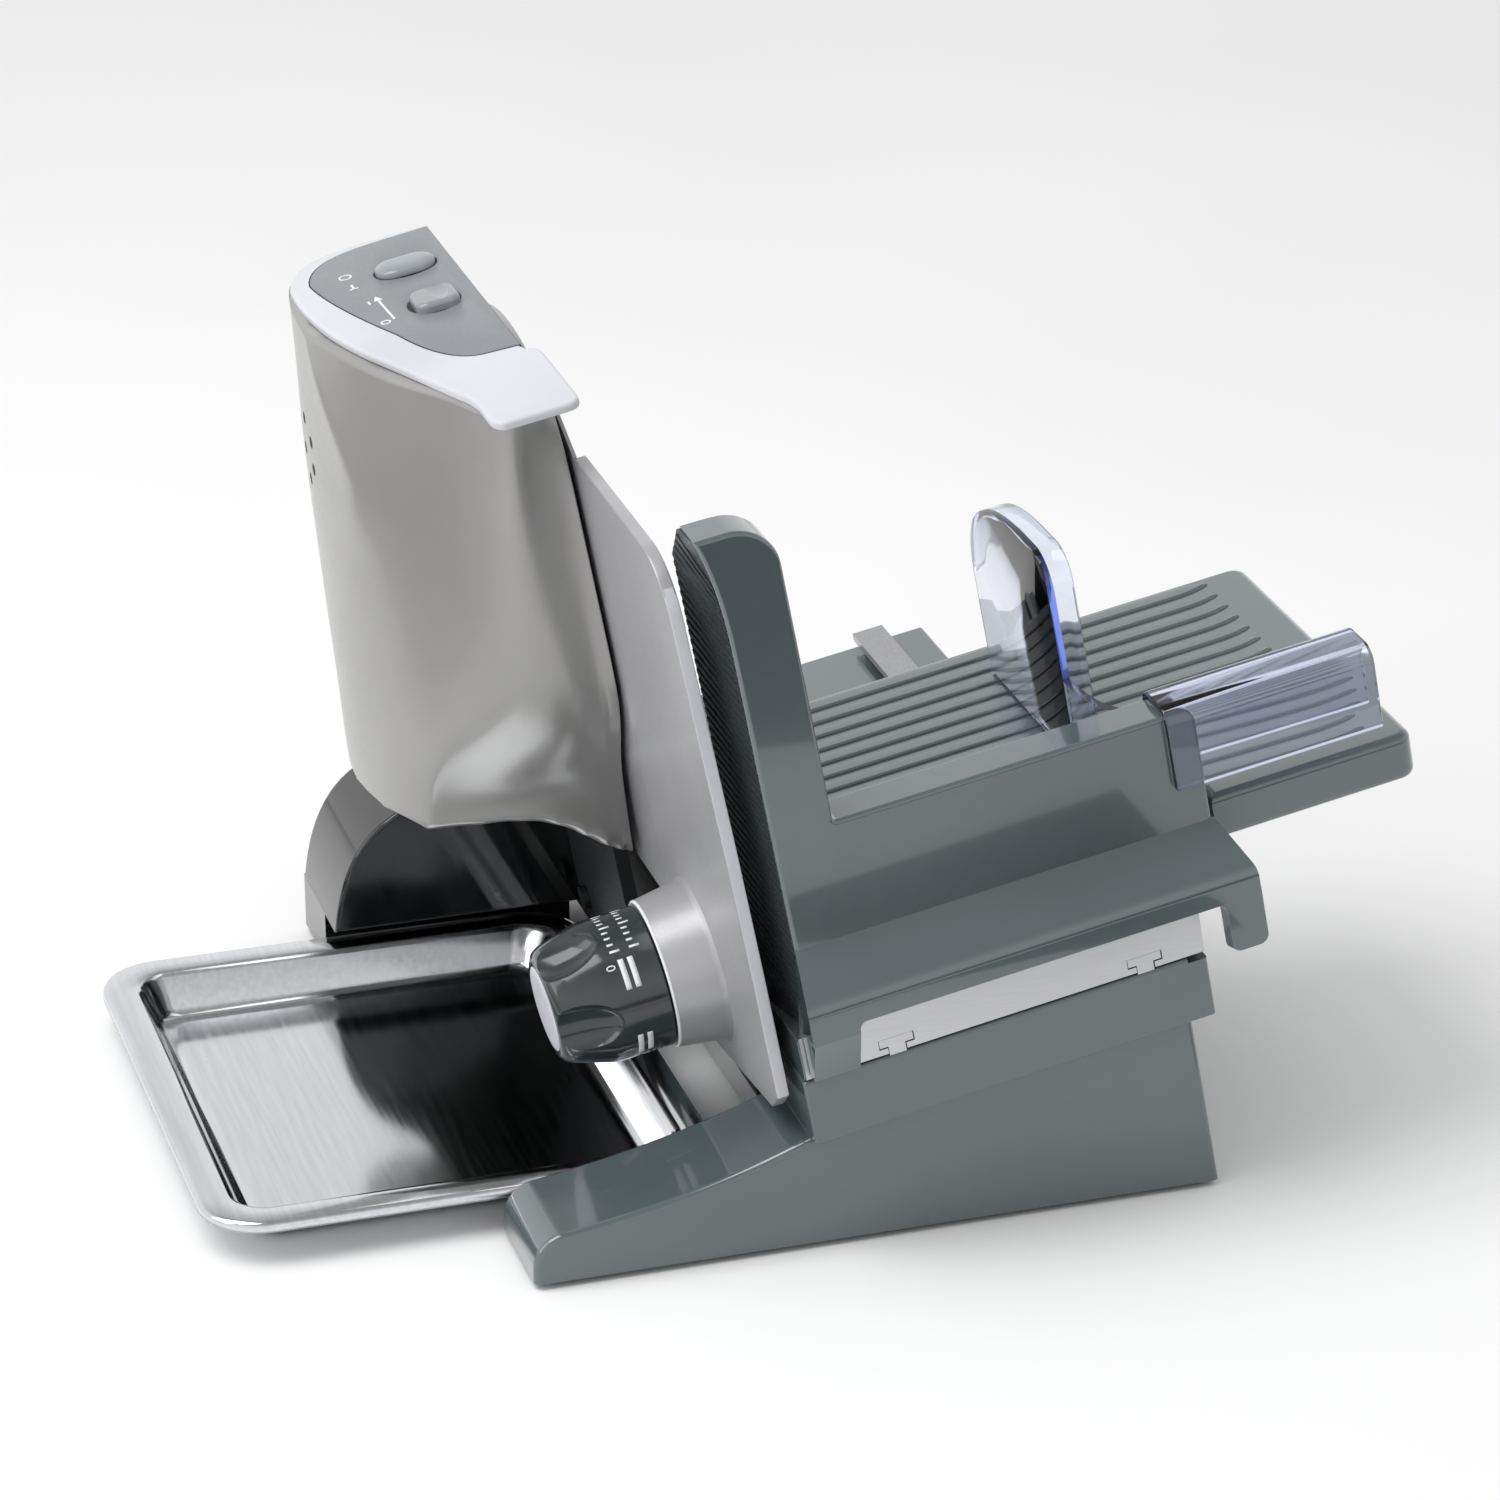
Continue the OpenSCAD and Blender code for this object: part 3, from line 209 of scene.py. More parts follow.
key_abs = finish("grey_gloss_abs_keys", "#8B8F93", "#959A9E", 30, 2.0, 0.006, (0.18, 0.26), IOR=1.53,
                 Coat_Weight=0.3, Coat_Roughness=0.1)
black_abs = finish("black_polished_abs", "#08090A", "#101214", 80, 5.0, 0.006, (0.05, 0.11), IOR=1.53,
                   Coat_Weight=0.4, Coat_Roughness=0.03)
knob_abs = finish("anthracite_polished_abs", "#2C3234", "#343B3D", 30, 3.0, 0.006, (0.12, 0.20), IOR=1.53,
                  Coat_Weight=0.4, Coat_Roughness=0.05)
# A darker copy of the carriage plastic: painted shade for the ribbed side in its gap by the plate.
ribbed_abs_in_painted_shade = finish("ribbed_abs_darkened_as_painted_shade", "#2A2F32", "#353B3E", 20, 1.0, 0.010, (0.26, 0.36), IOR=1.53)
black_coat = finish("black_powder_coat_on_steel", "#131516", "#1B1D1F", 40, 1.0, 0.02, (0.45, 0.6), IOR=1.5)
rubber = finish("black_rubber", "#141414", "#1D1D1D", 10, 0.8, 0.03, (0.65, 0.85), IOR=1.52)
nylon = finish("natural_nylon", "#DDD8C8", "#E6E2D4", 20, 1.0, 0.01, (0.40, 0.52), IOR=1.53)
white_ink = finish("white_printing_ink", "#E6E8E8", "#F4F5F5", 4, 0.4, 0.002, (0.45, 0.6), IOR=1.5)
# Painted shade: a dark finish for the shaded gaps round the panel and keys and inside the vent holes.
shadow_gap = finish("painted_gap_shade", "#232527", "#2B2D2F", 10, 0.6, 0.01, (0.6, 0.8), IOR=1.5)
print("moulded and painted finishes:", len(bpy.data.materials))

# %% [markdown]
# Metals
# A metal keeps the default IOR and takes its look from its colour, its roughness and its working marks.
# The tray is pressed from polished sheet, with a faint rolling grain. The blade is ground, so its lines run
# round its axis. Real ones are too fine to show, so they are drawn 1.2 mm apart. Cast aluminium is dull and
# even, sintered bronze is warm and porous, and the copper winding shows its turns.

# %% Make the metals
def metal(name, tones, rough, grain_mm, stretch, bump_mm):
    """A worked metal: its grain is a noise that is stretched along one axis."""
    material, tree, shader, place = new_material(name)
    mapped = node(tree, "ShaderNodeMapping", {"Scale": stretch}, {"Vector": place})
    grain = noise(tree, mapped.outputs["Vector"], grain_mm)
    colour(tree, shader, grain, *tones)
    roughen(tree, shader, grain, rough)
    raise_grain(tree, shader, grain, bump_mm, 0.5)
    shader.inputs["Metallic"].default_value = 1.0
    return material


ALONG_X, ALONG_Y, ALONG_Z, EVEN = (0.03, 1.0, 1.0), (1.0, 0.05, 1.0), (1.0, 1.0, 0.1), (1.0, 1.0, 1.0)
WOUND = (1.0, 1.0, 6.0)
stainless = metal("polished_stainless_sheet", ("#CFD1D4", "#DBDDE0"), (0.09, 0.14), 2.0, ALONG_Y, 0.001)
brushed_aluminium = metal("brushed_aluminium", ("#C6C8CA", "#CCCED0"), (0.30, 0.34), 0.6, ALONG_X, 0.0006)
machined_steel = metal("machined_steel", ("#A9ABAD", "#B9BBBD"), (0.26, 0.38), 1.0, ALONG_Z, 0.006)
cast_aluminium = metal("die_cast_aluminium", ("#B9BCBF", "#C6C9CC"), (0.34, 0.46), 1.6, EVEN, 0.012)
bronze = metal("sintered_bronze", ("#8A6A3C", "#A5834E"), (0.40, 0.52), 0.8, EVEN, 0.02)
copper = metal("lacquered_copper_winding", ("#7A4526", "#A8683C"), (0.28, 0.40), 1.0, WOUND, 0.06)

# A wave texture of scale 1 has its lines 0.314 apart
LINE_GAP = 0.0012
blade_steel, tree, shader, place = new_material("ground_blade_steel")
middle = node(tree, "ShaderNodeMapping", {"vector_type": "TEXTURE", "Rotation": (0, -LEAN, 0),
                                          "Location": DECK @ Vector((97, *BLADE_AXIS))}, {"Vector": place})
lines = node(tree, "ShaderNodeTexWave",
             {"wave_type": "RINGS", "rings_direction": "X", "Scale": 0.314 / LINE_GAP, "Distortion": 2.0,
              "Detail": 3.0}, {"Vector": middle.outputs["Vector"]})
colour(tree, shader, lines.outputs["Fac"], "#C9CCCF", "#CED1D4")
roughen(tree, shader, lines.outputs["Fac"], (0.21, 0.25))
shader.inputs["Metallic"].default_value = 1.0
print("with the metals:", len(bpy.data.materials))

# %% [markdown]
# Clear plastic
# The pusher is clear acrylic with a blue tint. A tint in the surface would look the same everywhere, so the
# light is absorbed inside instead, and the blue deepens where the light goes through the edges.

# %% Make the acrylic
acrylic, tree, shader, place = new_material("clear_blue_acrylic")
haze = noise(tree, place, 25)
roughen(tree, shader, haze, (0.02, 0.05))
colour(tree, shader, haze, "#E9EDF8", "#F2F4FB")
shader.inputs["Transmission Weight"].default_value = 1.0
shader.inputs["IOR"].default_value = 1.49
tint = node(tree, "ShaderNodeVolumeAbsorption", {"Color": (0.50, 0.62, 1.0, 1.0), "Density": 28.0})
tree.links.new(tint.outputs["Volume"], tree.nodes["Material Output"].inputs["Volume"])
print("all finishes:", len(bpy.data.materials))

# %% [markdown]
# Drawing shapes
# Most mouldings are one outline that is drawn out along an axis and then has its edges rounded, so these few
# helpers come first. Curved shells are a stack of rings: a ring of edges is extruded and moved onto the next.

# %% Helpers for outlines
SPOT = {"u": lambda a, b, t: Vector((t, a, b)), "v": lambda a, b, t: Vector((a, t, b)),
        "w": lambda a, b, t: Vector((a, b, t))}


def oblong(a0, a1, b0, b1):
    return [(a0, b0), (a1, b0), (a1, b1), (a0, b1)]


def bend(a, b, c, steps=12):
    """A curve from a to c that leans towards b."""
    return [tuple(p * (1 - t) ** 2 + q * 2 * t * (1 - t) + r * t * t for p, q, r in zip(a, b, c))
            for t in (i / steps for i in range(steps + 1))]


def arc(middle, radius, start, end, steps=8):
    angles = (math.radians(start + (end - start) * i / steps) for i in range(steps + 1))
    return [(middle[0] + radius * math.cos(a), middle[1] + radius * math.sin(a)) for a in angles]


# %% Helpers for solid shapes
def push(bm, face, way):
    """Extrudes a face into a closed block."""
    grown = bmesh.ops.extrude_face_region(bm, geom=[face])["geom"]
    bmesh.ops.translate(bm, verts=[g for g in grown if isinstance(g, bmesh.types.BMVert)], vec=way)


def draw_out(bm, outline, axis, start, length):
    """An outline across the axis becomes a closed block from start, that far along it."""
    face = bm.faces.new([bm.verts.new(SPOT[axis](a, b, start)) for a, b in outline])
    push(bm, face, SPOT[axis](0, 0, length))


def block(outline, axis, start, length):
    """A new drawing with one such block in it."""
    bm = bmesh.new()
    draw_out(bm, outline, axis, start, length)
    return bm


def round_off(bm, radius, segments, wanted):
    """Rounds the sharp edges whose middle passes the test."""
    bmesh.ops.recalc_face_normals(bm, faces=bm.faces)
    edges = [e for e in bm.edges if e.is_manifold and e.calc_face_angle(0) > math.radians(28)
             and wanted((e.verts[0].co + e.verts[1].co) / 2)]
    bmesh.ops.bevel(bm, geom=edges, offset=radius, offset_type="OFFSET", segments=segments, profile=0.5,
                    affect="EDGES", material=-1, clamp_overlap=True)


def stack_rings(bm, rings):
    """Closed rings with as many points each, extruded one from another. Returns rows of vertices."""
    row = [bm.verts.new(p) for p in rings[0]]
    edges = [bm.edges.new((row[i], row[(i + 1) % len(row)])) for i in range(len(row))]
    rows = [row]
    for ring in rings[1:]:
        grown = bmesh.ops.extrude_edge_only(bm, edges=edges)["geom"]
        fresh = set(g for g in grown if isinstance(g, bmesh.types.BMVert))
        row = [next(e.other_vert(v) for e in v.link_edges if e.other_vert(v) in fresh) for v in rows[-1]]
        for vert, spot in zip(row, ring):
            vert.co = spot
        edges = [bm.edges.get((row[i], row[(i + 1) % len(row)])) for i in range(len(row))]
        rows.append(row)
    return rows


def turn(bm, profile, axis, steps=72):
    """A profile of (u, radius) points, turned about an axis that runs along u through (v, w)."""
    verts = [bm.verts.new((u, axis[0], axis[1] + r)) for u, r in profile]
    edges = [bm.edges.new(pair) for pair in zip(verts, verts[1:])]
    bmesh.ops.spin(bm, geom=verts + edges, cent=(0, *axis), axis=(1, 0, 0), angle=math.tau, steps=steps,
                   use_merge=True)
    bmesh.ops.remove_doubles(bm, verts=bm.verts, dist=0.001)


def ball(bm, size, spot, segments):
    """A ball that is stretched to three half sizes and put on a spot."""
    verts = bmesh.ops.create_uvsphere(bm, u_segments=segments[0], v_segments=segments[1], radius=1.0)["verts"]
    bmesh.ops.scale(bm, verts=verts, vec=size)
    bmesh.ops.translate(bm, verts=verts, vec=spot)


# %% Helpers for pieces
SHARP = 32


def add_object(bm, name, *materials):
    mesh = bpy.data.meshes.new(name)
    bm.to_mesh(mesh)
    bm.free()
    for material in materials:
        mesh.materials.append(material)
    made = bpy.data.objects.new(name, mesh)
    scene.collection.objects.link(made)
    return made


def shade(mesh, angle=SHARP):
    """Smooth shading, with a sharp edge where two faces meet at more than the angle."""
    mesh.shade_smooth()
    mesh.set_sharp_from_angle(angle=math.radians(angle))


def make_piece(bm, name, material, body, stands_for=(), smooth=SHARP, matrix=DECK):
    """Closes a drawing: merges doubles, turns faces outwards, carries it into the part, and lets it ride."""
    bmesh.ops.remove_doubles(bm, verts=bm.verts, dist=0.002)
    bmesh.ops.recalc_face_normals(bm, faces=bm.faces)
    open_edges = sum(1 for e in bm.edges if not e.is_manifold)
    bmesh.ops.transform(bm, matrix=matrix, verts=bm.verts)
    piece = add_object(bm, name, material)
    shade(piece.data, smooth)
    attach(piece, body)
    if stands_for:
        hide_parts(*stands_for)
    print(name, len(piece.data.polygons), "faces, open edges:", open_edges)
    return piece


def even_shading(piece):
    """Flat faces keep flat shading next to their rounded edges."""
    piece.modifiers.new("even_shading", "WEIGHTED_NORMAL").keep_sharp = True
    return piece


def thicken(piece, thickness_mm, offset):
    """Gives an open sheet its thickness, to one side or to both."""
    sheet = piece.modifiers.new("sheet", "SOLIDIFY")
    sheet.thickness, sheet.offset = thickness_mm / 1000, offset


def carve(piece, bm, operation="DIFFERENCE"):
    """Cuts a closed drawing out of a piece, or joins it on."""
    bmesh.ops.recalc_face_normals(bm, faces=bm.faces)
    bmesh.ops.transform(bm, matrix=DECK, verts=bm.verts)
    cutter = add_object(bm, "cutter")
    cut = piece.modifiers.new("cut", "BOOLEAN")
    cut.object, cut.operation, cut.solver = cutter, operation, "EXACT"
    shaped = bpy.data.meshes.new_from_object(piece.evaluated_get(bpy.context.evaluated_depsgraph_get()))
    piece.modifiers.remove(cut)
    piece.data = shaped
    bpy.data.objects.remove(cutter)
    shade(shaped)
    print(operation.lower(), piece.name, len(shaped.polygons), "faces")


# %% [markdown]
# The base
# On the real slicer the base is one moulding: a low arm comes forward on the left as a rounded nose, and rises
# in a long curve to the deck. One block would need a deep cut behind the arm, so the front slice is drawn as
# one outline with the arm, and the block behind it as a second.

# %% Mould the base
BASE_RIGHT, ARM_DEPTH = 241, 42
low_left, low_right = (DECK_LEFT / math.cos(LEAN), FOOT), (BASE_RIGHT / math.cos(LEAN), FOOT)
high_left, high_right = on_deck(DECK_LEFT, DECK_LOW), on_deck(BASE_RIGHT, DECK_LOW)
crown = bend((12, 20), (62, 27.5), high_left, 14)
bm = block([(0, FOOT)] + arc((12, 8), 12, 180, 98, 8) + crown + [high_right, low_right], "v", 0, ARM_DEPTH)
round_off(bm, 2.6, 4, lambda m: m.z > 4 and (m.y < 0.01 or (m.y > ARM_DEPTH - 0.1 and m.x < 96)))
draw_out(bm, [low_left, low_right, high_right, high_left], "v", ARM_DEPTH, BACK - ARM_DEPTH)
round_off(bm, 2.0, 3, lambda m: m.y > BACK - 0.1 and m.z > 4)
even_shading(make_piece(bm, "base_moulding", grey_green_abs, "machine", ["base_shell"],
                        matrix=LEVEL))

# %% [markdown]
# The deck box
# A shallow box lies along the deck and stands a little proud of the base below it. Its front right corner has
# a small step, where the carriage's hooked leg passes, so that corner is carved away.

# %% Mould the deck box
DECK_RIGHT, DECK_FRONT = 248, -5
bm = block(oblong(DECK_LEFT, DECK_RIGHT, DECK_LOW, DECK_TOP), "v", DECK_FRONT, BACK - DECK_FRONT)
round_off(bm, 1.2, 3, lambda m: True)
deck_box = make_piece(bm, "deck_box_moulding", grey_green_abs, "machine", ["deck_box"])
carve(deck_box, block(oblong(BASE_RIGHT, DECK_RIGHT + 2, 43.6, 47), "v", DECK_FRONT - 2, 14))
even_shading(deck_box)

# %% [markdown]
# The pedestal
# A black polished foot carries the housing at the back. Its left end leans in to a waist and sweeps up again
# under the housing. That outline is drawn along the depth and cut off where the leaning housing and frame sit
# on it. Below, it steps back to leave room for the tray's rim.

# %% Mould the pedestal
PEDESTAL_FRONT, PEDESTAL_LOW = 238, 22.5
side = bend((-11, PEDESTAL_LOW), (-8, 55), (10, 66), 12) + bend((10, 66), (32, 79), (37, 107.5), 10)[1:]
bm = block(side + [(84.4, 107.5), (84.4, PEDESTAL_LOW)], "v", PEDESTAL_FRONT, BACK - PEDESTAL_FRONT)
to_level = LEVEL.inverted() @ DECK
for spot, outward in ((Vector((0, 0, 92)), Vector((0, 0, 1))), (Vector((85.8, 0, 0)), Vector((1, 0, 0)))):
    cut = bmesh.ops.bisect_plane(bm, geom=bm.verts[:] + bm.edges[:] + bm.faces[:], plane_co=to_level @ spot,
                                 plane_no=to_level.to_3x3() @ outward, clear_outer=True)
    bmesh.ops.holes_fill(bm, edges=[g for g in cut["geom_cut"] if isinstance(g, bmesh.types.BMEdge)], sides=0)
round_off(bm, 3.0, 5, lambda m: m.y < PEDESTAL_FRONT + 0.1 and m.x < 60)
round_off(bm, 2.0, 3, lambda m: m.y > BACK - 0.1 and m.x < 60)
draw_out(bm, oblong(-10.9, 83.5, 256, BACK), "w", FOOT, 21)
even_shading(make_piece(bm, "pedestal_moulding", black_abs, "machine", ["pedestal"],
                        matrix=LEVEL))

# %% [markdown]
# The motor housing
# This is the shell that the eye goes to: it leans back, narrows downwards, shows a soft crease on its left,
# and sweeps on the right to the edge of the thickness plate. No turned or drawn block gives that, so each
# ring below is one level of it, from the back right corner round the left to the front. A subdivision surface
# smooths the rings, and a few creased edges keep the prow at the bottom and the diagonal at the upper left.

# %% List the housing's levels
LEVELS = [
    (258.6, [(86, 286), (63, 285.5), (43.5, 282), (35, 262), (33.5, 236), (34.2, 222), (46.3, 175),
             (55.5, 153), (63.5, 134), (69, 114), (74, 104.5), (79.5, 104.5), (84.5, 108.5), (88.5, 113.5),
             (91.8, 119), (91.8, 125), (86, 150), (86, 172), (86, 194)]),
    (236, [(86, 286), (63, 285.5), (42.8, 282), (32.9, 264), (30.4, 238), (31.2, 209), (43, 170), (51.6, 151),
           (60, 134), (67, 117), (73.5, 110.5), (78, 114.8), (83.5, 117.6), (89.5, 117.6), (93, 116),
           (93, 122), (86, 140), (86, 172), (86, 194)]),
    (212, [(86, 286), (62, 285.5), (40.2, 282), (30, 264), (26.5, 238), (31.9, 189), (39.2, 166), (47.7, 150),
           (57, 134), (65, 120), (72.5, 115.4), (78.5, 116.6), (83.5, 117.8), (89.5, 117.6), (93, 116),
           (93, 122), (86, 150), (86, 172), (86, 194)]),
    (186, [(86, 286), (62, 285.5), (38.8, 282), (27.6, 264), (23.1, 238), (25.3, 198), (35.5, 164),
           (44.8, 147), (55, 132), (64.5, 120), (73.5, 116.4), (80, 117.2), (85, 118.2), (89.5, 117.8),
           (93, 116), (93, 122), (86, 146), (86, 172), (86, 194)]),
    (163, [(86, 286), (62, 285), (37.3, 282), (25.7, 264), (20.7, 238), (21.2, 203), (31.7, 163), (42, 146),
           (53, 131), (64, 121), (75, 116), (82, 116.8), (88, 117.8), (90, 117.2), (93, 116), (93, 122),
           (86, 136), (86, 172), (86, 194)]),
    (140, [(86, 286), (62, 285), (36.6, 282), (24.1, 264), (18.1, 238), (17.6, 205), (25.8, 166), (37, 146.5),
           (50, 133), (63, 124), (75, 119), (83, 119), (88, 120.5), (90, 118.4), (93, 116.8), (93, 124),
           (86, 139), (86, 172), (86, 194)]),
    (120, [(86, 286), (62, 285), (36.5, 282), (23.5, 263), (16.5, 239), (14.5, 209), (20.5, 172), (30.5, 152),
           (46, 142), (60, 134), (73, 129), (82, 128), (87.5, 128.4), (90.4, 128.4), (92.8, 128), (92.8, 136),
           (86, 147), (86, 172), (86, 194)]),
    (104, [(86, 286), (62, 285), (37, 281.5), (22.5, 262), (15, 240), (12, 212), (16.5, 180), (26, 158.5),
           (43, 150.5), (57, 146), (70, 143), (80, 141.5), (86, 141), (89.6, 140.6), (92.6, 140),
           (92.6, 146), (86, 152), (86, 172), (86, 194)]),
    (92, [(86, 286), (62, 285), (38, 281), (22, 262), (14.5, 240), (11, 215), (14.5, 187), (24, 160),
          (42, 152), (56, 147.5), (67, 144.5), (76, 142.5), (83, 142), (88, 143.4), (91.8, 146), (91.8, 149),
          (86, 152), (86, 170), (86, 190)]),
]
LOWEST = LEVELS[-1][0]
DROP = [0] * 9 + [1, 5, 12, 19, 23, 26, 26, 26, 20, 0]
BACK_CORNER, DIAGONAL, PROW, FRONT_CORNERS = 0, 5, 7, (14, 15)
print("levels:", len(LEVELS), "points in each:", len(DROP))

# %% Mould the motor housing
def pushed_out(ring):
    """Smoothing draws a ring in, so the points of its round left and front go out by as much."""
    moved = list(ring)
    for i in (1, 2, 3, 4, 5, 6, 8, 9, 10):
        moved[i] = tuple(c + (2 * c - a - b) / 6 for a, c, b in zip(ring[i - 1], ring[i], ring[i + 1]))
    return moved


def housing_ring(w, ring):
    """The points of one level. The lowest level hangs down towards the right."""
    return [(u, v, w - (DROP[i] if w == LOWEST else 0)) for i, (u, v) in enumerate(pushed_out(ring))]


bm = bmesh.new()
rows = stack_rings(bm, [housing_ring(w, ring) for w, ring in LEVELS])
bm.faces.new(rows[0])
bm.faces.new(rows[-1])
crease = bm.edges.layers.float.new("crease_edge")
for row, value in ((rows[0], 1.0), (rows[-1], 0.9)):
    for i, vert in enumerate(row):
        bm.edges.get((vert, row[(i + 1) % len(row)]))[crease] = value
for upper, lower in zip(rows, rows[1:]):
    level = (upper[PROW].co.z + lower[PROW].co.z) / 2
    creases = {BACK_CORNER: 0.6, DIAGONAL: 0.8 if level > 215 else 0.4 if level > 190 else 0.0,
               PROW: 0.75 if level < 115 else 0.45 if level < 135 else 0.0}
    creases.update((i, 0.7) for i in FRONT_CORNERS)
    for i, value in creases.items():
        bm.edges.get((upper[i], lower[i]))[crease] = value
housing = make_piece(bm, "housing_shell", silver_paint, "machine", ["motor_housing"], 180)
smooth = housing.modifiers.new("smooth", "SUBSURF")
smooth.levels = smooth.render_levels = 3

# %% [markdown]
# The cap and its panel
# A pale cap closes the housing and reaches forward as a flat tongue over the thickness plate. A darker panel
# with the keys is let into it. The panel stands 0.4 mm proud, and a dark line of painted shade round it stands
# for the shaded gap at the joint. Shallow dishes under the keys are carved with flattened balls, so that a
# finger finds the keys.

# %% Mould the cap
CAP_LOW, CAP_TOP = 258.7, 262
cap = ([(93, 286), (72, 286.5)]
       + bend((63, 286), (41, 285.5), (36, 262), 10)
       + bend((36, 262), (33, 222), (48, 179), 12)[1:]
       + bend((48, 179), (55, 158), (64, 130), 8)[1:]
       + bend((64, 130), (68, 121), (67.2, 108), 6)[1:]
       + bend((67.2, 108), (66.6, 95.5), (72, 95), 5)[1:]
       + bend((92, 95), (98, 95), (98, 101), 5)
       + bend((98, 144), (98, 149), (94, 150.5), 4)
       + [(93, 153)])
bm = block(cap, "w", CAP_LOW, CAP_TOP - CAP_LOW)
round_off(bm, 1.3, 3, lambda m: m.z > CAP_TOP - 0.1)
round_off(bm, 0.7, 2, lambda m: m.z < CAP_LOW + 0.1)
top_cap = even_shading(make_piece(bm, "cap_moulding", pale_abs_and_plate_highlight, "machine", ["top_cap"]))

# %% Mould the panel
PANEL_TOP = 262.4


def panel_outline(grow):
    right = 93 + min(grow, 0)
    return ([(right, 283.6 + grow), (72, 282.6 + grow)]
            + bend((70, 282.4 + grow), (46 - grow, 281 + grow), (43 - grow, 259), 10)
            + bend((43 - grow, 259), (44.5 - grow, 236), (59 - grow, 193), 12)[1:]
            + bend((59 - grow, 193), (67 - grow, 158 - grow), (80, 155.5 - grow), 10)[1:]
            + [(right, 154.2 - grow)])


# A thin dark strip round the panel is painted shade, for the shaded gap at its joint.
bm = block(panel_outline(0.45), "w", 261.0, 1.06)
panel_line = make_piece(bm, "panel_joint_line", shadow_gap, "machine")
bm = block(panel_outline(0), "w", PANEL_TOP - 2.8, 2.8)
round_off(bm, 0.6, 3, lambda m: m.z > PANEL_TOP - 0.1)
panel = make_piece(bm, "key_panel", panel_abs, "machine", ["control_panel"])
for spot, size in (((76.3, 250, 266.4), (17.5, 13, 5.4)), ((77.3, 213, 266.4), (15.5, 16.5, 5.6))):
    bm = bmesh.new()
    ball(bm, size, spot, (40, 20))
    carve(panel, bm)

# %% [markdown]
# The two keys
# The oval key is pressed and springs back, so its top is a low dome, made by insets that rise less and less. A
# well is carved under it for its travel. The square one slides between 0 and I, and a shallow groove in its top
# holds the thumb.

# %% Mould the press key
def oval(grow):
    return arc((80.3, 250.2), 7 + grow, -90, 90, 16) + arc((72.3, 250.2), 7 + grow, 90, 270, 16)


# A dark oval and square under the keys are painted shade, so that the gaps round them look shaded.
bm = block(oval(0.8), "w", 260, 2.45)
draw_out(bm, oblong(68.6, 86.4, 202.6, 226), "w", 260, 1.9)
gaps = make_piece(bm, "key_gaps", shadow_gap, "machine")
bm = block(oval(0), "w", 261.8, 2.1)
top = max(bm.faces, key=lambda f: f.calc_center_median().z)
for inset, rise in ((0.5, 0.6), (0.9, 0.5), (1.3, 0.35), (1.7, 0.15)):
    bmesh.ops.inset_region(bm, faces=[top], thickness=inset, depth=rise, use_even_offset=True)
make_piece(bm, "press_key", key_abs, "button", ["push_button"], 50)
for piece in (top_cap, panel_line, panel, gaps):
    carve(piece, block(oval(0.25), "w", 258.3, 8))

# %% Mould the slide key
bm = block(oblong(69.4, 85.6, 203.4, 219.6), "w", 261.4, 4.4)
round_off(bm, 4.2, 6, lambda m: 262 < m.z < 265)
round_off(bm, 1.9, 5, lambda m: m.z > 265.7)
key = make_piece(bm, "slide_key", key_abs, "switch", ["slide_switch"], 40)
bm = bmesh.new()
ball(bm, (4.6, 11, 3.0), (79.2, 213.4, 267.6), (40, 24))
carve(key, bm)
even_shading(key)

# %% [markdown]
# Printed marks
# The panel carries plain signs in white ink: a ring and a bar for off and on, an arrow for the way the key
# slides, and a bar for the press key. They could be a pattern in the material, but small raised shapes stay
# sharp in a close view, so they are thin outlines that stand 0.06 mm above the panel.

# %% Print the panel's marks
INK = 0.06


def ink_bar(bm, start, end, width):
    a, b = Vector(start), Vector(end)
    side = (b - a).orthogonal().normalized() * width / 2
    draw_out(bm, [(a + side)[:], (b + side)[:], (b - side)[:], (a - side)[:]], "w", PANEL_TOP, INK)


def ink_ring(bm, middle, outside, inside):
    outer, inner = (arc(middle, radius, 0, 360, 24)[:-1] for radius in (outside, inside))
    low, high = PANEL_TOP, PANEL_TOP + INK
    stack_rings(bm, [[(u, v, w) for u, v in loop] for loop, w in (
        (outer, low), (outer, high), (inner, high), (inner, low))])


bm = bmesh.new()
ink_bar(bm, (61.4, 207), (60.6, 228), 0.8)
draw_out(bm, [(59.0, 227.4), (62.2, 227.6), (60.4, 231.6)], "w", PANEL_TOP, INK)
ink_bar(bm, (57.2, 226), (57.2, 229), 0.8)
ink_ring(bm, (58.0, 206.2), 1.9, 1.25)
ink_bar(bm, (55.8, 244), (55.8, 248.6), 0.8)
ink_bar(bm, (54.2, 244.3), (57.4, 244.3), 0.7)
ink_ring(bm, (55.6, 257), 2.4, 1.8)
make_piece(bm, "panel_marks", white_ink, "machine")

# %% [markdown]
# The thickness plate
# The plate that sets the thickness of a cut is a flat moulding with a curved upper front corner. Its back edge
# ends just before the blade. A round boss on its left takes the knob, and a small one takes the guide pin. The
# faces that look forward take the pale cap material as a painted highlight along the front edge.

# %% Mould the thickness plate
PLATE_LEFT, PLATE_THICK, PLATE_BACK = 94.5, 4.5, 114
HIGHLIGHT_BEFORE = -0.105
plate = ([(3, 38), (14, 29), (100, 15), (120, 15), (PLATE_BACK, 59.5), (PLATE_BACK, 234)]
         + arc((34, 212), 22, 90, 172, 12) + [(5, 130), (3, 80)])
bm = block(plate, "u", PLATE_LEFT, PLATE_THICK)
round_off(bm, 0.7, 2, lambda m: True)
boss = [(95, 10.2), (95, 30.0), (93.6, 29.2), (92.4, 28.6), (77.2, 26.4), (76.2, 25.6), (76.2, 10.2),
        (95, 10.2)]
turn(bm, boss, KNOB_AXIS, 96)
turn(bm, [(95, 0), (95, 7.6), (83.2, 7.0), (82.5, 6.3), (82.5, 0)], (109, 39.7), 40)
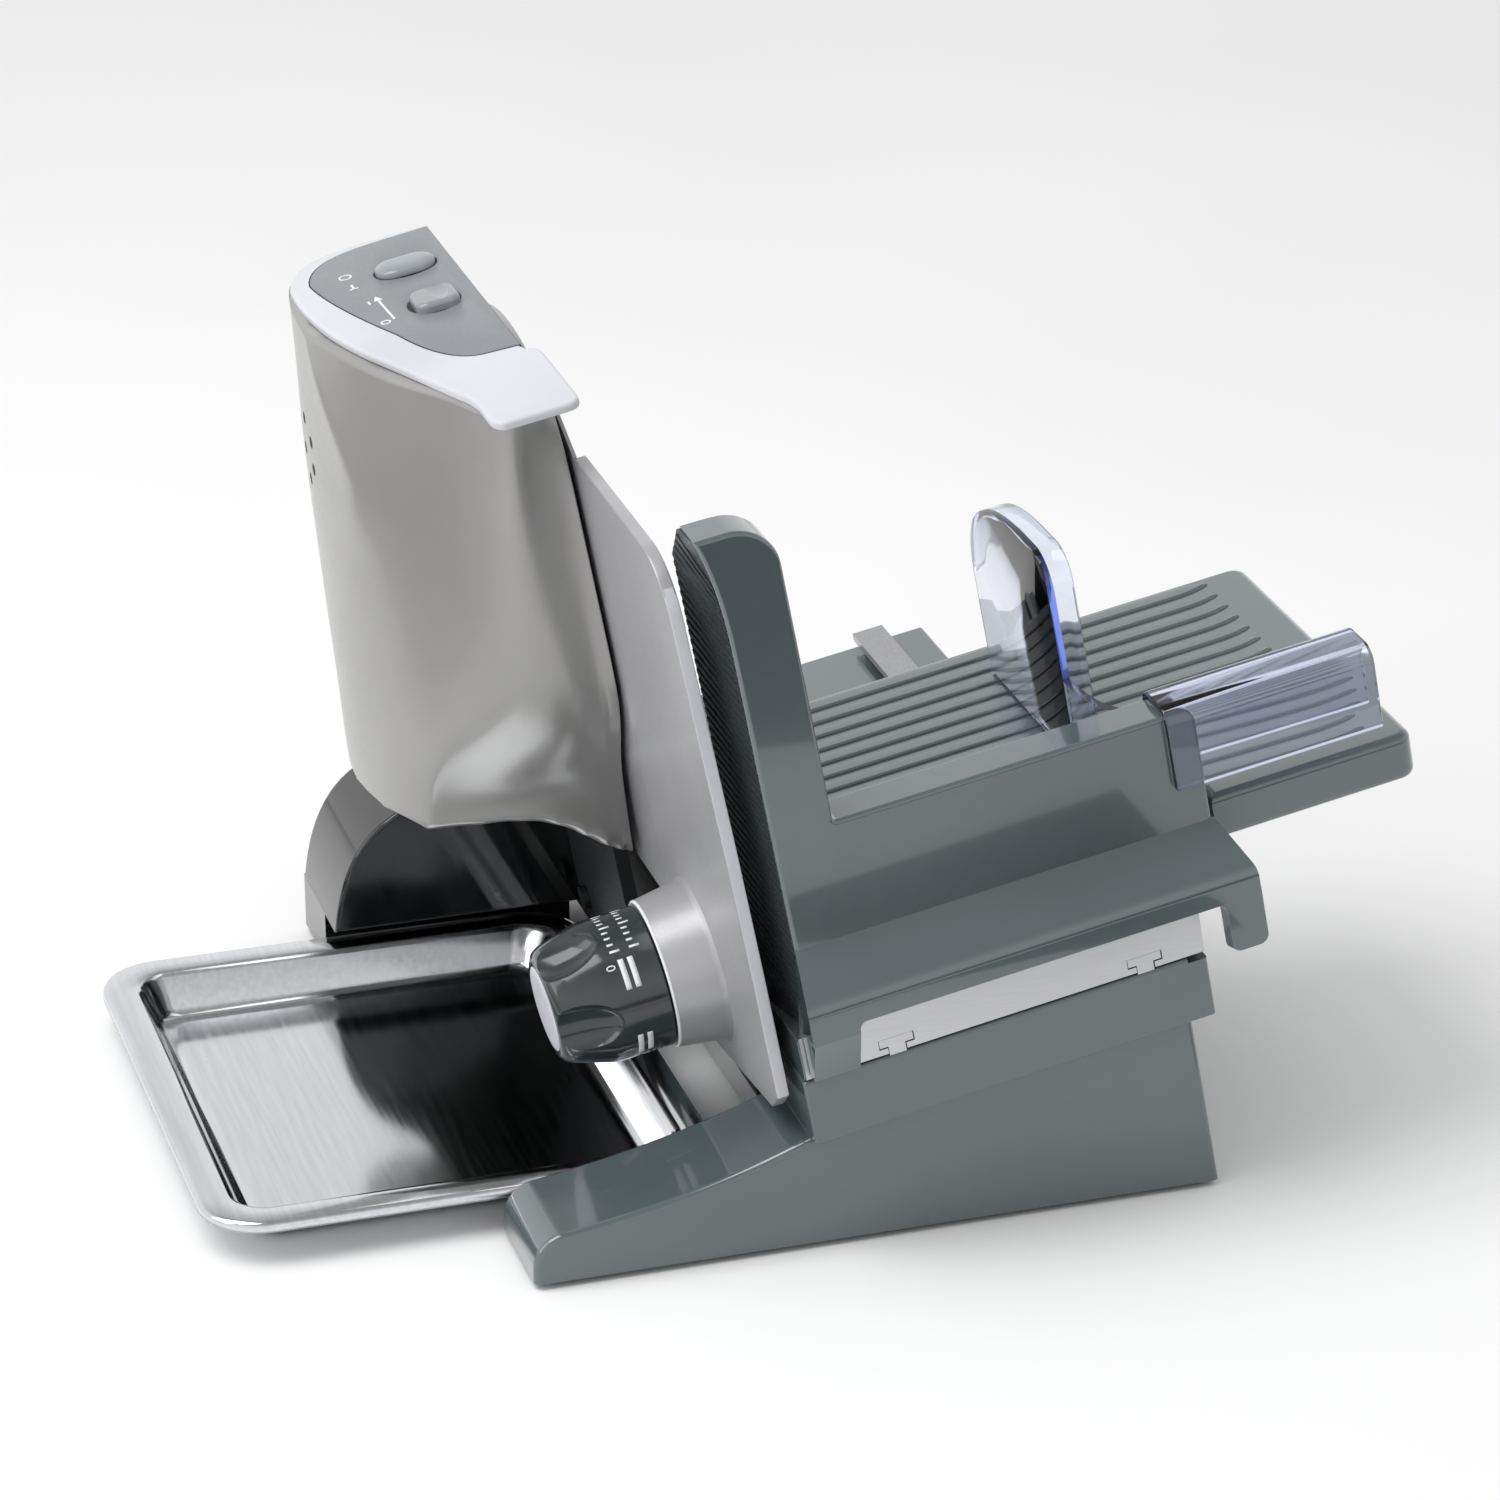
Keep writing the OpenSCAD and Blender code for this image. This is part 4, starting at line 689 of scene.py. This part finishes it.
gauge = make_piece(bm, "thickness_plate", plate_paint, "gauge", ["gauge_plate"])
# Painted highlight: the faces that look forward take the pale material, as a lit front edge.
gauge.data.materials.append(pale_abs_and_plate_highlight)
for face in gauge.data.polygons:
    if face.normal.y < -0.8 and face.center.y < HIGHLIGHT_BEFORE:
        face.material_index = 1
even_shading(gauge)

# %% Line the boss
bm = bmesh.new()
turn(bm, [(76.15, 25.0), (76.05, 25.9), (76.5, 26.35), (77.0, 26.42)], KNOB_AXIS, 96)
thicken(make_piece(bm, "boss_ring_line", white_ink, "gauge"), 0.08, -1)

# %% [markdown]
# The knob
# The thickness knob is a short cylinder with the scale, and a grip that narrows to a pale end. Five long scoops
# let the fingers hold it. It is turned from a profile, and the scoops are carved with stretched balls, because
# a ball leaves the same rounded hollow that the mould has.

# %% Mould the knob
KNOB_RADIUS, SCOOPS = 25, 5
bm = bmesh.new()
turn(bm, [(75.6, 0), (75.6, 24.6), (75.2, KNOB_RADIUS), (57.5, KNOB_RADIUS), (54, 24.8), (45, 22.6), (40, 20.9),
          (38, 19.6), (36.9, 17.6), (36.7, 16.6), (36.7, 0)], KNOB_AXIS, 120)
knob = make_piece(bm, "knob_grip", knob_abs, "knob", ["thickness_knob"])
for i in range(SCOOPS):
    bm = bmesh.new()
    ball(bm, (21, 11.2, 8.2), (37.5, 0, 25.4), (48, 32))
    turned = Matrix.Rotation(math.tau * i / SCOOPS + 0.3, 3, "X")
    bmesh.ops.rotate(bm, cent=(0, 0, 0), matrix=turned, verts=bm.verts)
    bmesh.ops.translate(bm, vec=(0, *KNOB_AXIS), verts=bm.verts)
    carve(knob, bm)
bm = bmesh.new()
turn(bm, [(38, 0), (38, 15.2), (36.75, 15.2), (36.35, 14.4), (36.2, 12), (36.3, 0)], KNOB_AXIS, 72)
make_piece(bm, "knob_end_cap", pale_abs_and_plate_highlight, "knob", ["knob_cap"])

# %% [markdown]
# The knob's scale
# White ticks run round the knob's cylinder in two rows, with a pair of long bars at the zero and at the far
# end. Each tick is a thin sheet that is wrapped onto the cylinder by its angle, and a Solidify modifier gives
# the ink its thickness. The numeral is a text that becomes a mesh and is wrapped in the same way.

# %% Print the knob's ticks
def on_knob(u, angle, lift):
    """A point on the knob's cylinder, at an angle from the top towards the front."""
    radius = KNOB_RADIUS + lift
    return (u, KNOB_AXIS[0] - radius * math.sin(angle), KNOB_AXIS[1] + radius * math.cos(angle))


def wrap_bar(bm, u0, u1, a0, a1):
    """A thin bar on the knob from u0 to u1, between two angles in degrees."""
    steps = max(2, round(abs(a1 - a0) / 3))
    angles = [math.radians(a0 + (a1 - a0) * i / steps) for i in range(steps + 1)]
    near, far = ([bm.verts.new(on_knob(u, a, 0.02)) for a in angles] for u in (u0, u1))
    for i in range(steps):
        bm.faces.new((near[i], near[i + 1], far[i + 1], far[i]))


bm = bmesh.new()
for i in range(9):
    for u in (60.4, 67.4):
        wrap_bar(bm, u, u + (3.6 if i % 4 == 0 else 2.2), i * 6.6 - 20.6, i * 6.6 - 18.6)
for first in (41, 107):
    for u in (61.9, 65.3):
        wrap_bar(bm, u, u + 2.0, first, first + 25)
for i in range(6):
    wrap_bar(bm, 61.5 + i * 1.9, 62.6 + i * 1.9, 140, 141.2)
thicken(make_piece(bm, "knob_scale", white_ink, "knob"), 0.04, 0)

# %% Print the zero
number = bpy.data.curves.new("zero", "FONT")
number.body, number.size, number.align_x = "0", 4.6, "CENTER"
writing = bpy.data.objects.new("zero", number)
scene.collection.objects.link(writing)
bm = bmesh.new()
bm.from_mesh(bpy.data.meshes.new_from_object(writing.evaluated_get(bpy.context.evaluated_depsgraph_get())))
bpy.data.objects.remove(writing)
bmesh.ops.remove_doubles(bm, verts=bm.verts, dist=0.01)
bmesh.ops.subdivide_edges(bm, edges=bm.edges[:], cuts=1)
for vert in bm.verts:
    vert.co = on_knob(57.4 + vert.co.y, math.radians(46) - vert.co.x / KNOB_RADIUS, 0.03)
thicken(make_piece(bm, "knob_zero", white_ink, "knob"), 0.04, 0)

# %% [markdown]
# The carriage
# The hand holds the carriage by its sloping ledge. Behind the ledge stands a low wall that the pusher rides
# on, and at the left it rises to a tall guard. Wall and guard are one outline, drawn to the back, and then
# the front edges are rounded. The guard's left edge bends away near the top, so its curve is kept as a
# function for the ribbed side too.

# %% Mould the wall and guard
GUARD_LEFT, GUARD_TOP, BEND_START = 109.5, 245.5, 200
WALL_LOW, WALL_FRONT, WALL_DEEP = 62, -2, 16


def guard_edge(level):
    """The guard's left front edge: straight below, and curving out to the corner at the top."""
    rise = max(0.0, (level - BEND_START) / (GUARD_TOP - BEND_START))
    return GUARD_LEFT - 5.3 * rise ** 2.4


guard = ([(GUARD_LEFT, WALL_LOW), (258.5, WALL_LOW)] + arc((254, 130.5), 4.5, 0, 90, 6)
         + arc((132.6, 136.6), 1.6, 270, 180, 4) + arc((115, 229.5), 16, 0, 90, 14)
         + [(guard_edge(w), w) for w in (GUARD_TOP, 240, 234, 228, 222, 216, 210, BEND_START)])
bm = block(guard, "v", WALL_FRONT, WALL_DEEP)
round_off(bm, 3.2, 6, lambda m: m.y < WALL_FRONT + 0.1 and m.z > 64)
round_off(bm, 1.0, 3, lambda m: m.y > WALL_FRONT + WALL_DEEP - 0.1 and m.z > 64 and m.x > 112)
even_shading(make_piece(bm, "carriage_guard", grey_green_abs, "sliding_carriage",
                        ["carriage"]))

# %% [markdown]
# Ledge, skirt and leg
# The ledge is one section drawn along the carriage, and rolls over into its lip. The lip's front is a second
# outline: it runs down to a skirt at the left and to a hooked leg at the right. The faces of the two stay a
# little apart, so that no two lie in one plane. The ledge narrows towards the back, so the points of its ends
# are pushed along by their depth.

# %% Mould the ledge
LEDGE_LEFT, LEDGE_RIGHT, LEDGE_FRONT = 105.5, 266, -19.98
roll = bend((-17.2, 81.4), (LEDGE_FRONT, 79.3), (LEDGE_FRONT, 76), 8)
ledge = ([(-1.5, WALL_LOW), (-1.5, 93), (-2, 93)] + roll
         + [(LEDGE_FRONT, 72.5), (-16, 72.5), (-16, 76.5), (-5.5, 84.2), (-5.5, WALL_LOW)])
bm = block(ledge, "u", LEDGE_LEFT, LEDGE_RIGHT - LEDGE_LEFT)
round_off(bm, 1.6, 4, lambda m: m.x > LEDGE_RIGHT - 0.1 and m.z > 73)
lip = ([(LEDGE_LEFT, 66), (122, 66)] + arc((125, 67), 3, 180, 90, 5) + arc((250, 67), 3, 90, 0, 5)
       + arc((256, 54), 3, 180, 270, 5) + arc((262.5, 54.5), 3.5, 270, 360, 5) + arc((262, 72), 4, 0, 90, 5)
       + [(LEDGE_LEFT, 76)])
draw_out(bm, lip, "v", LEDGE_FRONT + 0.05, 3.5)
round_off(bm, 1.0, 3, lambda m: m.y < -19.9 and m.z < 70 and m.x > 106)
skirt = [(-19.88, 67), (-19.88, 66), (-9, 47), (-5.4, 47), (-5.4, 64), (-14, 68)]
draw_out(bm, skirt, "u", 105.55, 16.4)
round_off(bm, 1.2, 3, lambda m: m.x > 121.9 and m.z < 65.9 and -19.8 < m.y < -5.5)
draw_out(bm, oblong(-5.3, 40, 46.9, 61.9), "u", 103.2, 0.75)
draw_out(bm, oblong(263, LEDGE_RIGHT, 52, 74), "v", -18, 14)
for vert in bm.verts:
    depth = (vert.co.y + 20) / 18
    if vert.co.x > 245:
        vert.co.x -= 6.5 * depth
    elif vert.co.x < 108 and vert.co.z > 70:
        vert.co.x += 4 * depth
even_shading(make_piece(bm, "carriage_ledge", grey_green_abs, "sliding_carriage"))

# %% [markdown]
# The bright strip
# The carriage runs on an aluminium extrusion, and its front shows under the ledge as a plain brushed strip. The
# extrusion keeps its solid, so only a thin face plate is laid in front of it. Two slots in the plate pass over
# the rails as the carriage slides back, and at rest the rails' bright ends fill them.

# %% Lay the strip
RAILS = (136.5, 226)
bm = block([(107, 46.4), (246, 46.4), (247.4, 48), (247.4, 61.4), (107, 61.4)], "v", -5.3, 0.8)
round_off(bm, 0.25, 2, lambda m: m.y < -5.2)
strip = make_piece(bm, "runner_face", brushed_aluminium, "sliding_carriage")


def rail_section(u, gap):
    """The rail's T, standing on the deck box, with a gap left round it."""
    foot, neck, head, low, top = 3 + gap, 49 - gap, 6 + gap, DECK_TOP - gap, 52 + gap
    return [(u - foot, low), (u + foot, low), (u + foot, neck), (u + head, neck), (u + head, top),
            (u - head, top), (u - head, neck), (u - foot, neck)]


ends = bmesh.new()
for u in RAILS:
    carve(strip, block(rail_section(u, 0.3), "v", -7, 4))
    draw_out(ends, rail_section(u, 0), "v", -4.95, 6.9)
make_piece(ends, "rail_ends", brushed_aluminium, "machine")
even_shading(strip)

# %% [markdown]
# The ribbed side
# The guard's side that faces the plate slants to the back and is finely ribbed. Its dark material is painted
# shade, for the shade that falls in the narrow gap by the plate. It is a stack of four-sided rings between the
# guard's edge and the back. A bump would not show at the edge, so each rib is a thin block on that side, and
# the ribs fall 15 mm towards the front.

# %% Lay the ribs
RIBS, RIB_PITCH, RIB_WIDTH, RIB_FALL = 46, 3.6, 1.8, 15


def slant(level, part, lift=0.0):
    """A point of the slanting side: part 0 is the guard's edge and part 1 the back."""
    back = 27.5 - 13.5 * max(0.0, min(1.0, (level - 231) / 13))
    edge = guard_edge(level) + 0.3
    return Vector((edge + (103 - edge) * part - 0.976 * lift, -1.2 + (back + 1.2) * part - 0.217 * lift, level))


def side_ring(w):
    return [slant(w, 0), slant(w, 1), slant(w, 1) + Vector((1.8, 0, 0)), Vector((guard_edge(w) + 4, 13.5, w))]


bm = bmesh.new()
rows = stack_rings(bm, [side_ring(w) for w in (62.3, 100, 140, 180, 200, 208, 216, 224, 231, 238, 244.8)])
bm.faces.new(rows[0])
bm.faces.new(rows[-1])
for i in range(RIBS):
    low = 64 + i * RIB_PITCH
    corners = ((low, 0.03), (low + RIB_WIDTH, 0.03), (low + RIB_FALL + RIB_WIDTH, 0.98), (low + RIB_FALL, 0.98))
    face = bm.faces.new([bm.verts.new(slant(w, part, 0.45)) for w, part in corners if w < 244])
    push(bm, face, (0.7, 0.16, 0))
# Its dark material is painted shade.
make_piece(bm, "ribbed_side", ribbed_abs_in_painted_shade, "sliding_carriage")

# %% [markdown]
# The table
# The table is flat, with shallow ridges along its length, so that what lies on it slides easily. The right end
# is free and has rounded corners. Each ridge is an outline with a round end, drawn up from just under the top.

# %% Mould the table
TABLE_LOW, TABLE_TOP, TABLE_RIGHT = 78, 95, 337
RIDGES, RIDGE_PITCH, RIDGE_LEFT, RIDGE_WIDTH = 14, 10.2, 116, 6.6
table = [(107.8, 14.2), (262.4, 14.2), (262.4, 8), (TABLE_RIGHT, 8), (TABLE_RIGHT, 164.2), (105, 164.2),
         (105, 29)]
bm = block(table, "w", TABLE_LOW, TABLE_TOP - TABLE_LOW)
round_off(bm, 6.0, 6, lambda m: m.x > TABLE_RIGHT - 0.1 and 80 < m.z < 93)
round_off(bm, 3.0, 5, lambda m: m.z > TABLE_TOP - 0.1 or (m.z < TABLE_LOW + 0.1 and m.x > 262))
for i in range(RIDGES):
    v = 20.4 + i * RIDGE_PITCH
    ridge = ([(RIDGE_LEFT, v), (306, v)] + bend((306, v), (316, v + 0.2), (321, v + 3.3), 5)[1:]
             + bend((321, v + 3.3), (316, v + 6.4), (306, v + RIDGE_WIDTH), 5)[1:]
             + [(RIDGE_LEFT, v + RIDGE_WIDTH)])
    draw_out(bm, ridge, "w", TABLE_TOP - 0.5, 1.5)
round_off(bm, 0.9, 3, lambda m: m.z > TABLE_TOP + 0.9)
even_shading(make_piece(bm, "table_moulding", grey_green_abs, "sliding_carriage",
                        ["carriage_table"]))

# %% [markdown]
# The pusher
# A clear clip rides over the wall, and a curved web joins it to an upright plate with short spikes that grip.
# All of it is one acrylic moulding about 3 mm thick, so the parts are joined by unions: walls that stayed
# inside a clear piece would show.

# %% Mould the pusher's clip
CLIP_LEFT, CLIP_LENGTH, CLIP_LOW = 247, 75, 108.5
outside = ([(-5.5, CLIP_LOW)] + arc((1, 132), 6.5, 180, 90, 8) + arc((11, 132), 6.5, 90, 0, 8)
           + [(17.5, CLIP_LOW)])
inside = ([(14.5, CLIP_LOW)] + arc((11, 132), 3.5, 0, 90, 6) + arc((1, 132), 3.5, 90, 180, 6)
          + [(-2.5, CLIP_LOW)])
bm = block(outside + inside, "u", CLIP_LEFT, CLIP_LENGTH)
round_off(bm, 0.8, 3, lambda m: m.x < CLIP_LEFT + 0.1 or m.x > CLIP_LEFT + CLIP_LENGTH - 0.1)
pusher = make_piece(bm, "clear_pusher", acrylic, "food_pusher", ["pusher"])

# %% Join its plate, rim and web
PUSH_FACE, RIM = 231, 3


def inward(v, w, middle=(95, 128)):
    """A point of the plate's edge, moved in by the rim's width."""
    way_v, way_w = middle[0] - v, middle[1] - w
    length = math.hypot(way_v, way_w)
    return (v + RIM * way_v / length, w + RIM * way_w / length)


crown = (bend((139.5, 138), (137, 163), (112, 171.5), 8) + bend((112, 171.5), (96, 177), (74, 177), 6)[1:]
         + arc((63.5, 165), 12, 90, 180, 8) + [(51.5, 99.5)])
bm = block([(51.5, 97), (139.5, 97)] + crown, "u", PUSH_FACE, 3)
round_off(bm, 0.8, 2, lambda m: m.x < PUSH_FACE + 0.1)
for i in range(6):
    for j in range(5):
        spike = bmesh.ops.create_cone(bm, cap_ends=True, segments=10, radius1=1.2, radius2=0.3, depth=2.8)
        tip = spike["verts"]
        bmesh.ops.rotate(bm, verts=tip, cent=(0, 0, 0), matrix=Matrix.Rotation(-math.pi / 2, 3, "Y"))
        bmesh.ops.translate(bm, verts=tip, vec=(PUSH_FACE - 1.2, 61.5 + i * 12, 107 + j * 12))
carve(pusher, bm, "UNION")
bm = block(crown + [inward(v, w) for v, w in crown][::-1], "u", PUSH_FACE + 2, 8)
round_off(bm, 0.8, 2, lambda m: m.x > PUSH_FACE + 9.9)
carve(pusher, bm, "UNION")
web = bend((250, 17.4), (234, 17.4), (234, 55.5)) + bend((231.2, 55.5), (231.2, 14.7), (250, 14.7))
carve(pusher, block(web, "w", 97.3, 33), "UNION")

# %% [markdown]
# The tray
# A shallow tray of polished sheet lies at the left of the blade. It is a stack of rounded rectangles, from the
# rolled edge over the flat rim and down the sloping wall to the floor, and a Solidify modifier gives the sheet
# its thickness. That keeps the wall even all over, as pressed sheet is. Four low dimples stiffen the floor.

# %% Press the tray
TRAY = (-100.05, 80, 42.6, 248.6)
TRAY_SECTION = ((0.5, 13.4, 21.5), (0.5, 15.0, 21.5), (0.9, 15.8, 21), (1.8, 16.2, 20.5), (9.5, 16.2, 14),
                (11.0, 15.8, 13), (12.2, 14.6, 12.5), (17.0, 4.2, 10), (18.6, 2.0, 9.5), (21.0, 1.1, 9),
                (24.5, 0.95, 8), (40, 0.95, 6))


def tray_ring(inset, level, corner):
    """A rounded rectangle at a level, that far inside the tray's edge."""
    x0, y0 = TRAY[0] + inset + corner, TRAY[2] + inset + corner
    x1, y1 = TRAY[1] - inset - corner, TRAY[3] - inset - corner
    loop = []
    for middle, start in (((x1, y1), 0), ((x0, y1), 90), ((x0, y0), 180), ((x1, y0), 270)):
        loop += arc(middle, corner, start, start + 90, 9)
    return [(x, y, level) for x, y in loop]


bm = bmesh.new()
rows = stack_rings(bm, [tray_ring(*row) for row in TRAY_SECTION])
bm.faces.new(rows[-1])
for face in bm.faces:
    face.normal_update()
if max(bm.faces, key=lambda f: f.calc_area()).normal.z < 0:
    bmesh.ops.reverse_faces(bm, faces=bm.faces)
bmesh.ops.transform(bm, matrix=LEVEL, verts=bm.verts)
tray = add_object(bm, "tray_sheet", stainless)
shade(tray.data, 50)
thicken(tray, 0.9, -1)
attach(tray, "tray")
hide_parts("slice_tray")
print("tray", len(tray.data.polygons), "faces")

# %% Press the dimples
bm = bmesh.new()
for x, y in ((-70, 192), (-70, 76), (50, 192), (50, 76)):
    ball(bm, (4.5, 4.5, 0.9), (x, y, 1.0), (24, 12))
make_piece(bm, "tray_dimples", stainless, "tray", matrix=LEVEL)

# %% [markdown]
# The works that keep their solids
# Blade, shafts, rails, screws and motor are simple turned and bent parts, so their solids stay. They only take
# the finish of their material.

# %% Give the solids their finishes
FINISHES = {
    blade_steel: ["blade"],
    machined_steel: ["guide_rails", "motor_can", "motor_end_plates", "motor_bracket", "gauge_spindle",
                     "gauge_guide_pin", "base_screws", "blade_shaft", "blade_lock", "motor_shaft", "knob_clip"],
    cast_aluminium: ["worm_steady", "carriage_runner"],
    plate_paint: ["blade_guard"],
    black_coat: ["rear_frame", "gauge_bracket", "frame_screws"],
    bronze: ["shaft_bushes"],
    copper: ["armature"],
    nylon: ["drive_gear", "switch_block"],
    black_abs: ["base_plate", "blade_hub", "motor_fan"],
    rubber: ["feet", "cord_gland"],
}
for material, names in FINISHES.items():
    for name in names:
        data = frame["nodes"][name].data
        data.materials.clear()
        data.materials.append(material)
print("solids finished:", sum(len(names) for names in FINISHES.values()))

# %% [markdown]
# Vent holes
# A few round holes let air into the motor, at the housing's left side. Cutting them would spoil the smoothing
# of the shell, so a ray is cast at it for each, and a small dark disc of painted shade, for the hole's shaded
# inside, is laid where the ray meets the surface.

# %% Lay the vents
VENTS = ((246, 220), (248, 208), (237, 214), (243, 198), (236, 204))
bm = bmesh.new()
shell = housing.evaluated_get(bpy.context.evaluated_depsgraph_get())
to_part = DECK.to_3x3().normalized()
to_deck = to_part.inverted()
for v, w in VENTS:
    _, spot, normal, _ = shell.ray_cast(DECK @ Vector((-60, v, w)), to_part @ Vector((1, 0, 0)))
    side = normal.cross(to_part @ Vector((0, 0.45, 1))).normalized()
    along = side.cross(normal)
    middle = DECK.inverted() @ (spot + normal * 0.00002)
    ring = [middle + to_deck @ (along * 2.3 * math.cos(a) + side * 1.9 * math.sin(a))
            for a in (math.tau * i / 20 for i in range(20))]
    push(bm, bm.faces.new([bm.verts.new(p) for p in ring]), to_deck @ (normal * -0.8))
# The dark discs are painted shade in place of the holes.
make_piece(bm, "vent_slots", shadow_gap, "machine")

# %% [markdown]
# Floor and light
# The machine stands on a plain pale floor that fills the picture. A large soft box hangs above it to the left,
# and a second one stands at the left. The light of the sky comes mostly from above. What the camera and the
# glossy surfaces see of it is a white backdrop that fades to a grey ceiling, so that the plastic shows soft
# bands.

# %% Lay the floor
floor_paint, tree, shader, place = new_material("pale_studio_floor")
colour(tree, shader, noise(tree, place, 400), "#F6F6F6", "#FAFAFA")
shader.inputs["Roughness"].default_value = 0.9
shader.inputs["Specular IOR Level"].default_value = 0.1
bm = bmesh.new()
bmesh.ops.create_grid(bm, x_segments=4, y_segments=4, size=12)
floor = add_object(bm, "studio_floor", floor_paint)
print("floor", len(floor.data.polygons), "faces")

# %% Light the stage
world = bpy.data.worlds.new("studio")
scene.world = world
world.use_nodes = True
tree = world.node_tree
way = node(tree, "ShaderNodeTexCoord").outputs["Generated"]
height = node(tree, "ShaderNodeSeparateXYZ", links={"Vector": way}).outputs["Z"]
sky = two_tone(tree, height, grey(0.24), grey(0.85), 0.05, 0.75)
backdrop = two_tone(tree, height, grey(1.0), grey(0.4), 0.4, 0.9)
path = node(tree, "ShaderNodeLightPath").outputs
seen = path["Is Camera Ray"]
for ray in ("Is Transmission Ray", "Is Glossy Ray"):
    seen = node(tree, "ShaderNodeMath", {"operation": "MAXIMUM"}, {0: seen, 1: path[ray]}).outputs[0]
mixed = node(tree, "ShaderNodeMix", {"data_type": "RGBA"}, {0: seen, 6: sky, 7: backdrop})
tree.links.new(mixed.outputs[2], tree.nodes["Background"].inputs["Color"])

for name, spot, aim, size, power in (("top_box", (-0.8, -0.15, 1.6), (0, 0, 0.1), 1.0, 13),
                                     ("left_box", (-1.7, -0.1, 1.0), (0, 0, 0.15), 1.1, 7)):
    lamp = bpy.data.lights.new(name, "AREA")
    lamp.size, lamp.energy = size, power
    box = bpy.data.objects.new(name, lamp)
    box.location = spot
    box.rotation_euler = (Vector(aim) - Vector(spot)).to_track_quat("-Z", "Y").to_euler()
    scene.collection.objects.link(box)
print("lamps:", len(bpy.data.lights))

# %% [markdown]
# Dark cards
# A studio lays dark cards in front of a glossy object: its upright faces mirror the floor before them, and a
# dark floor there brings out their colour. A grey one at the left shades the top of the housing's front.
# Only mirror images show them: they cast no shadow, and the camera doesn't see them.

# %% Lay the cards
BLACK, GREY = 0, 1
CARDS = ((BLACK, ((-1.6, -0.535), (-1.6, -1.7), (1.6, -1.7), (1.6, -0.535))),
         (BLACK, ((-0.05, -0.36), (0.22, -0.455), (0.22, -0.36))),
         (GREY, ((-1.6, -0.3), (-0.42, -0.3), (-0.42, 0.7), (-1.6, 0.7))))
black_card = finish("matt_black_card", "#0C0C0C", "#121212", 60, 1.0, 0.02, (0.8, 0.95), IOR=1.4)
grey_card = finish("matt_grey_card", "#7A7A7A", "#828282", 60, 1.0, 0.02, (0.8, 0.95), IOR=1.4)
bm = bmesh.new()
for paint, corners in CARDS:
    bm.faces.new([bm.verts.new((x, y, 0.002)) for x, y in corners]).material_index = paint
bmesh.ops.recalc_face_normals(bm, faces=bm.faces)
cards = add_object(bm, "dark_cards", black_card, grey_card)
for ray in ("camera", "diffuse", "shadow", "transmission", "volume_scatter"):
    setattr(cards, "visible_" + ray, False)
print("cards:", len(cards.data.polygons))
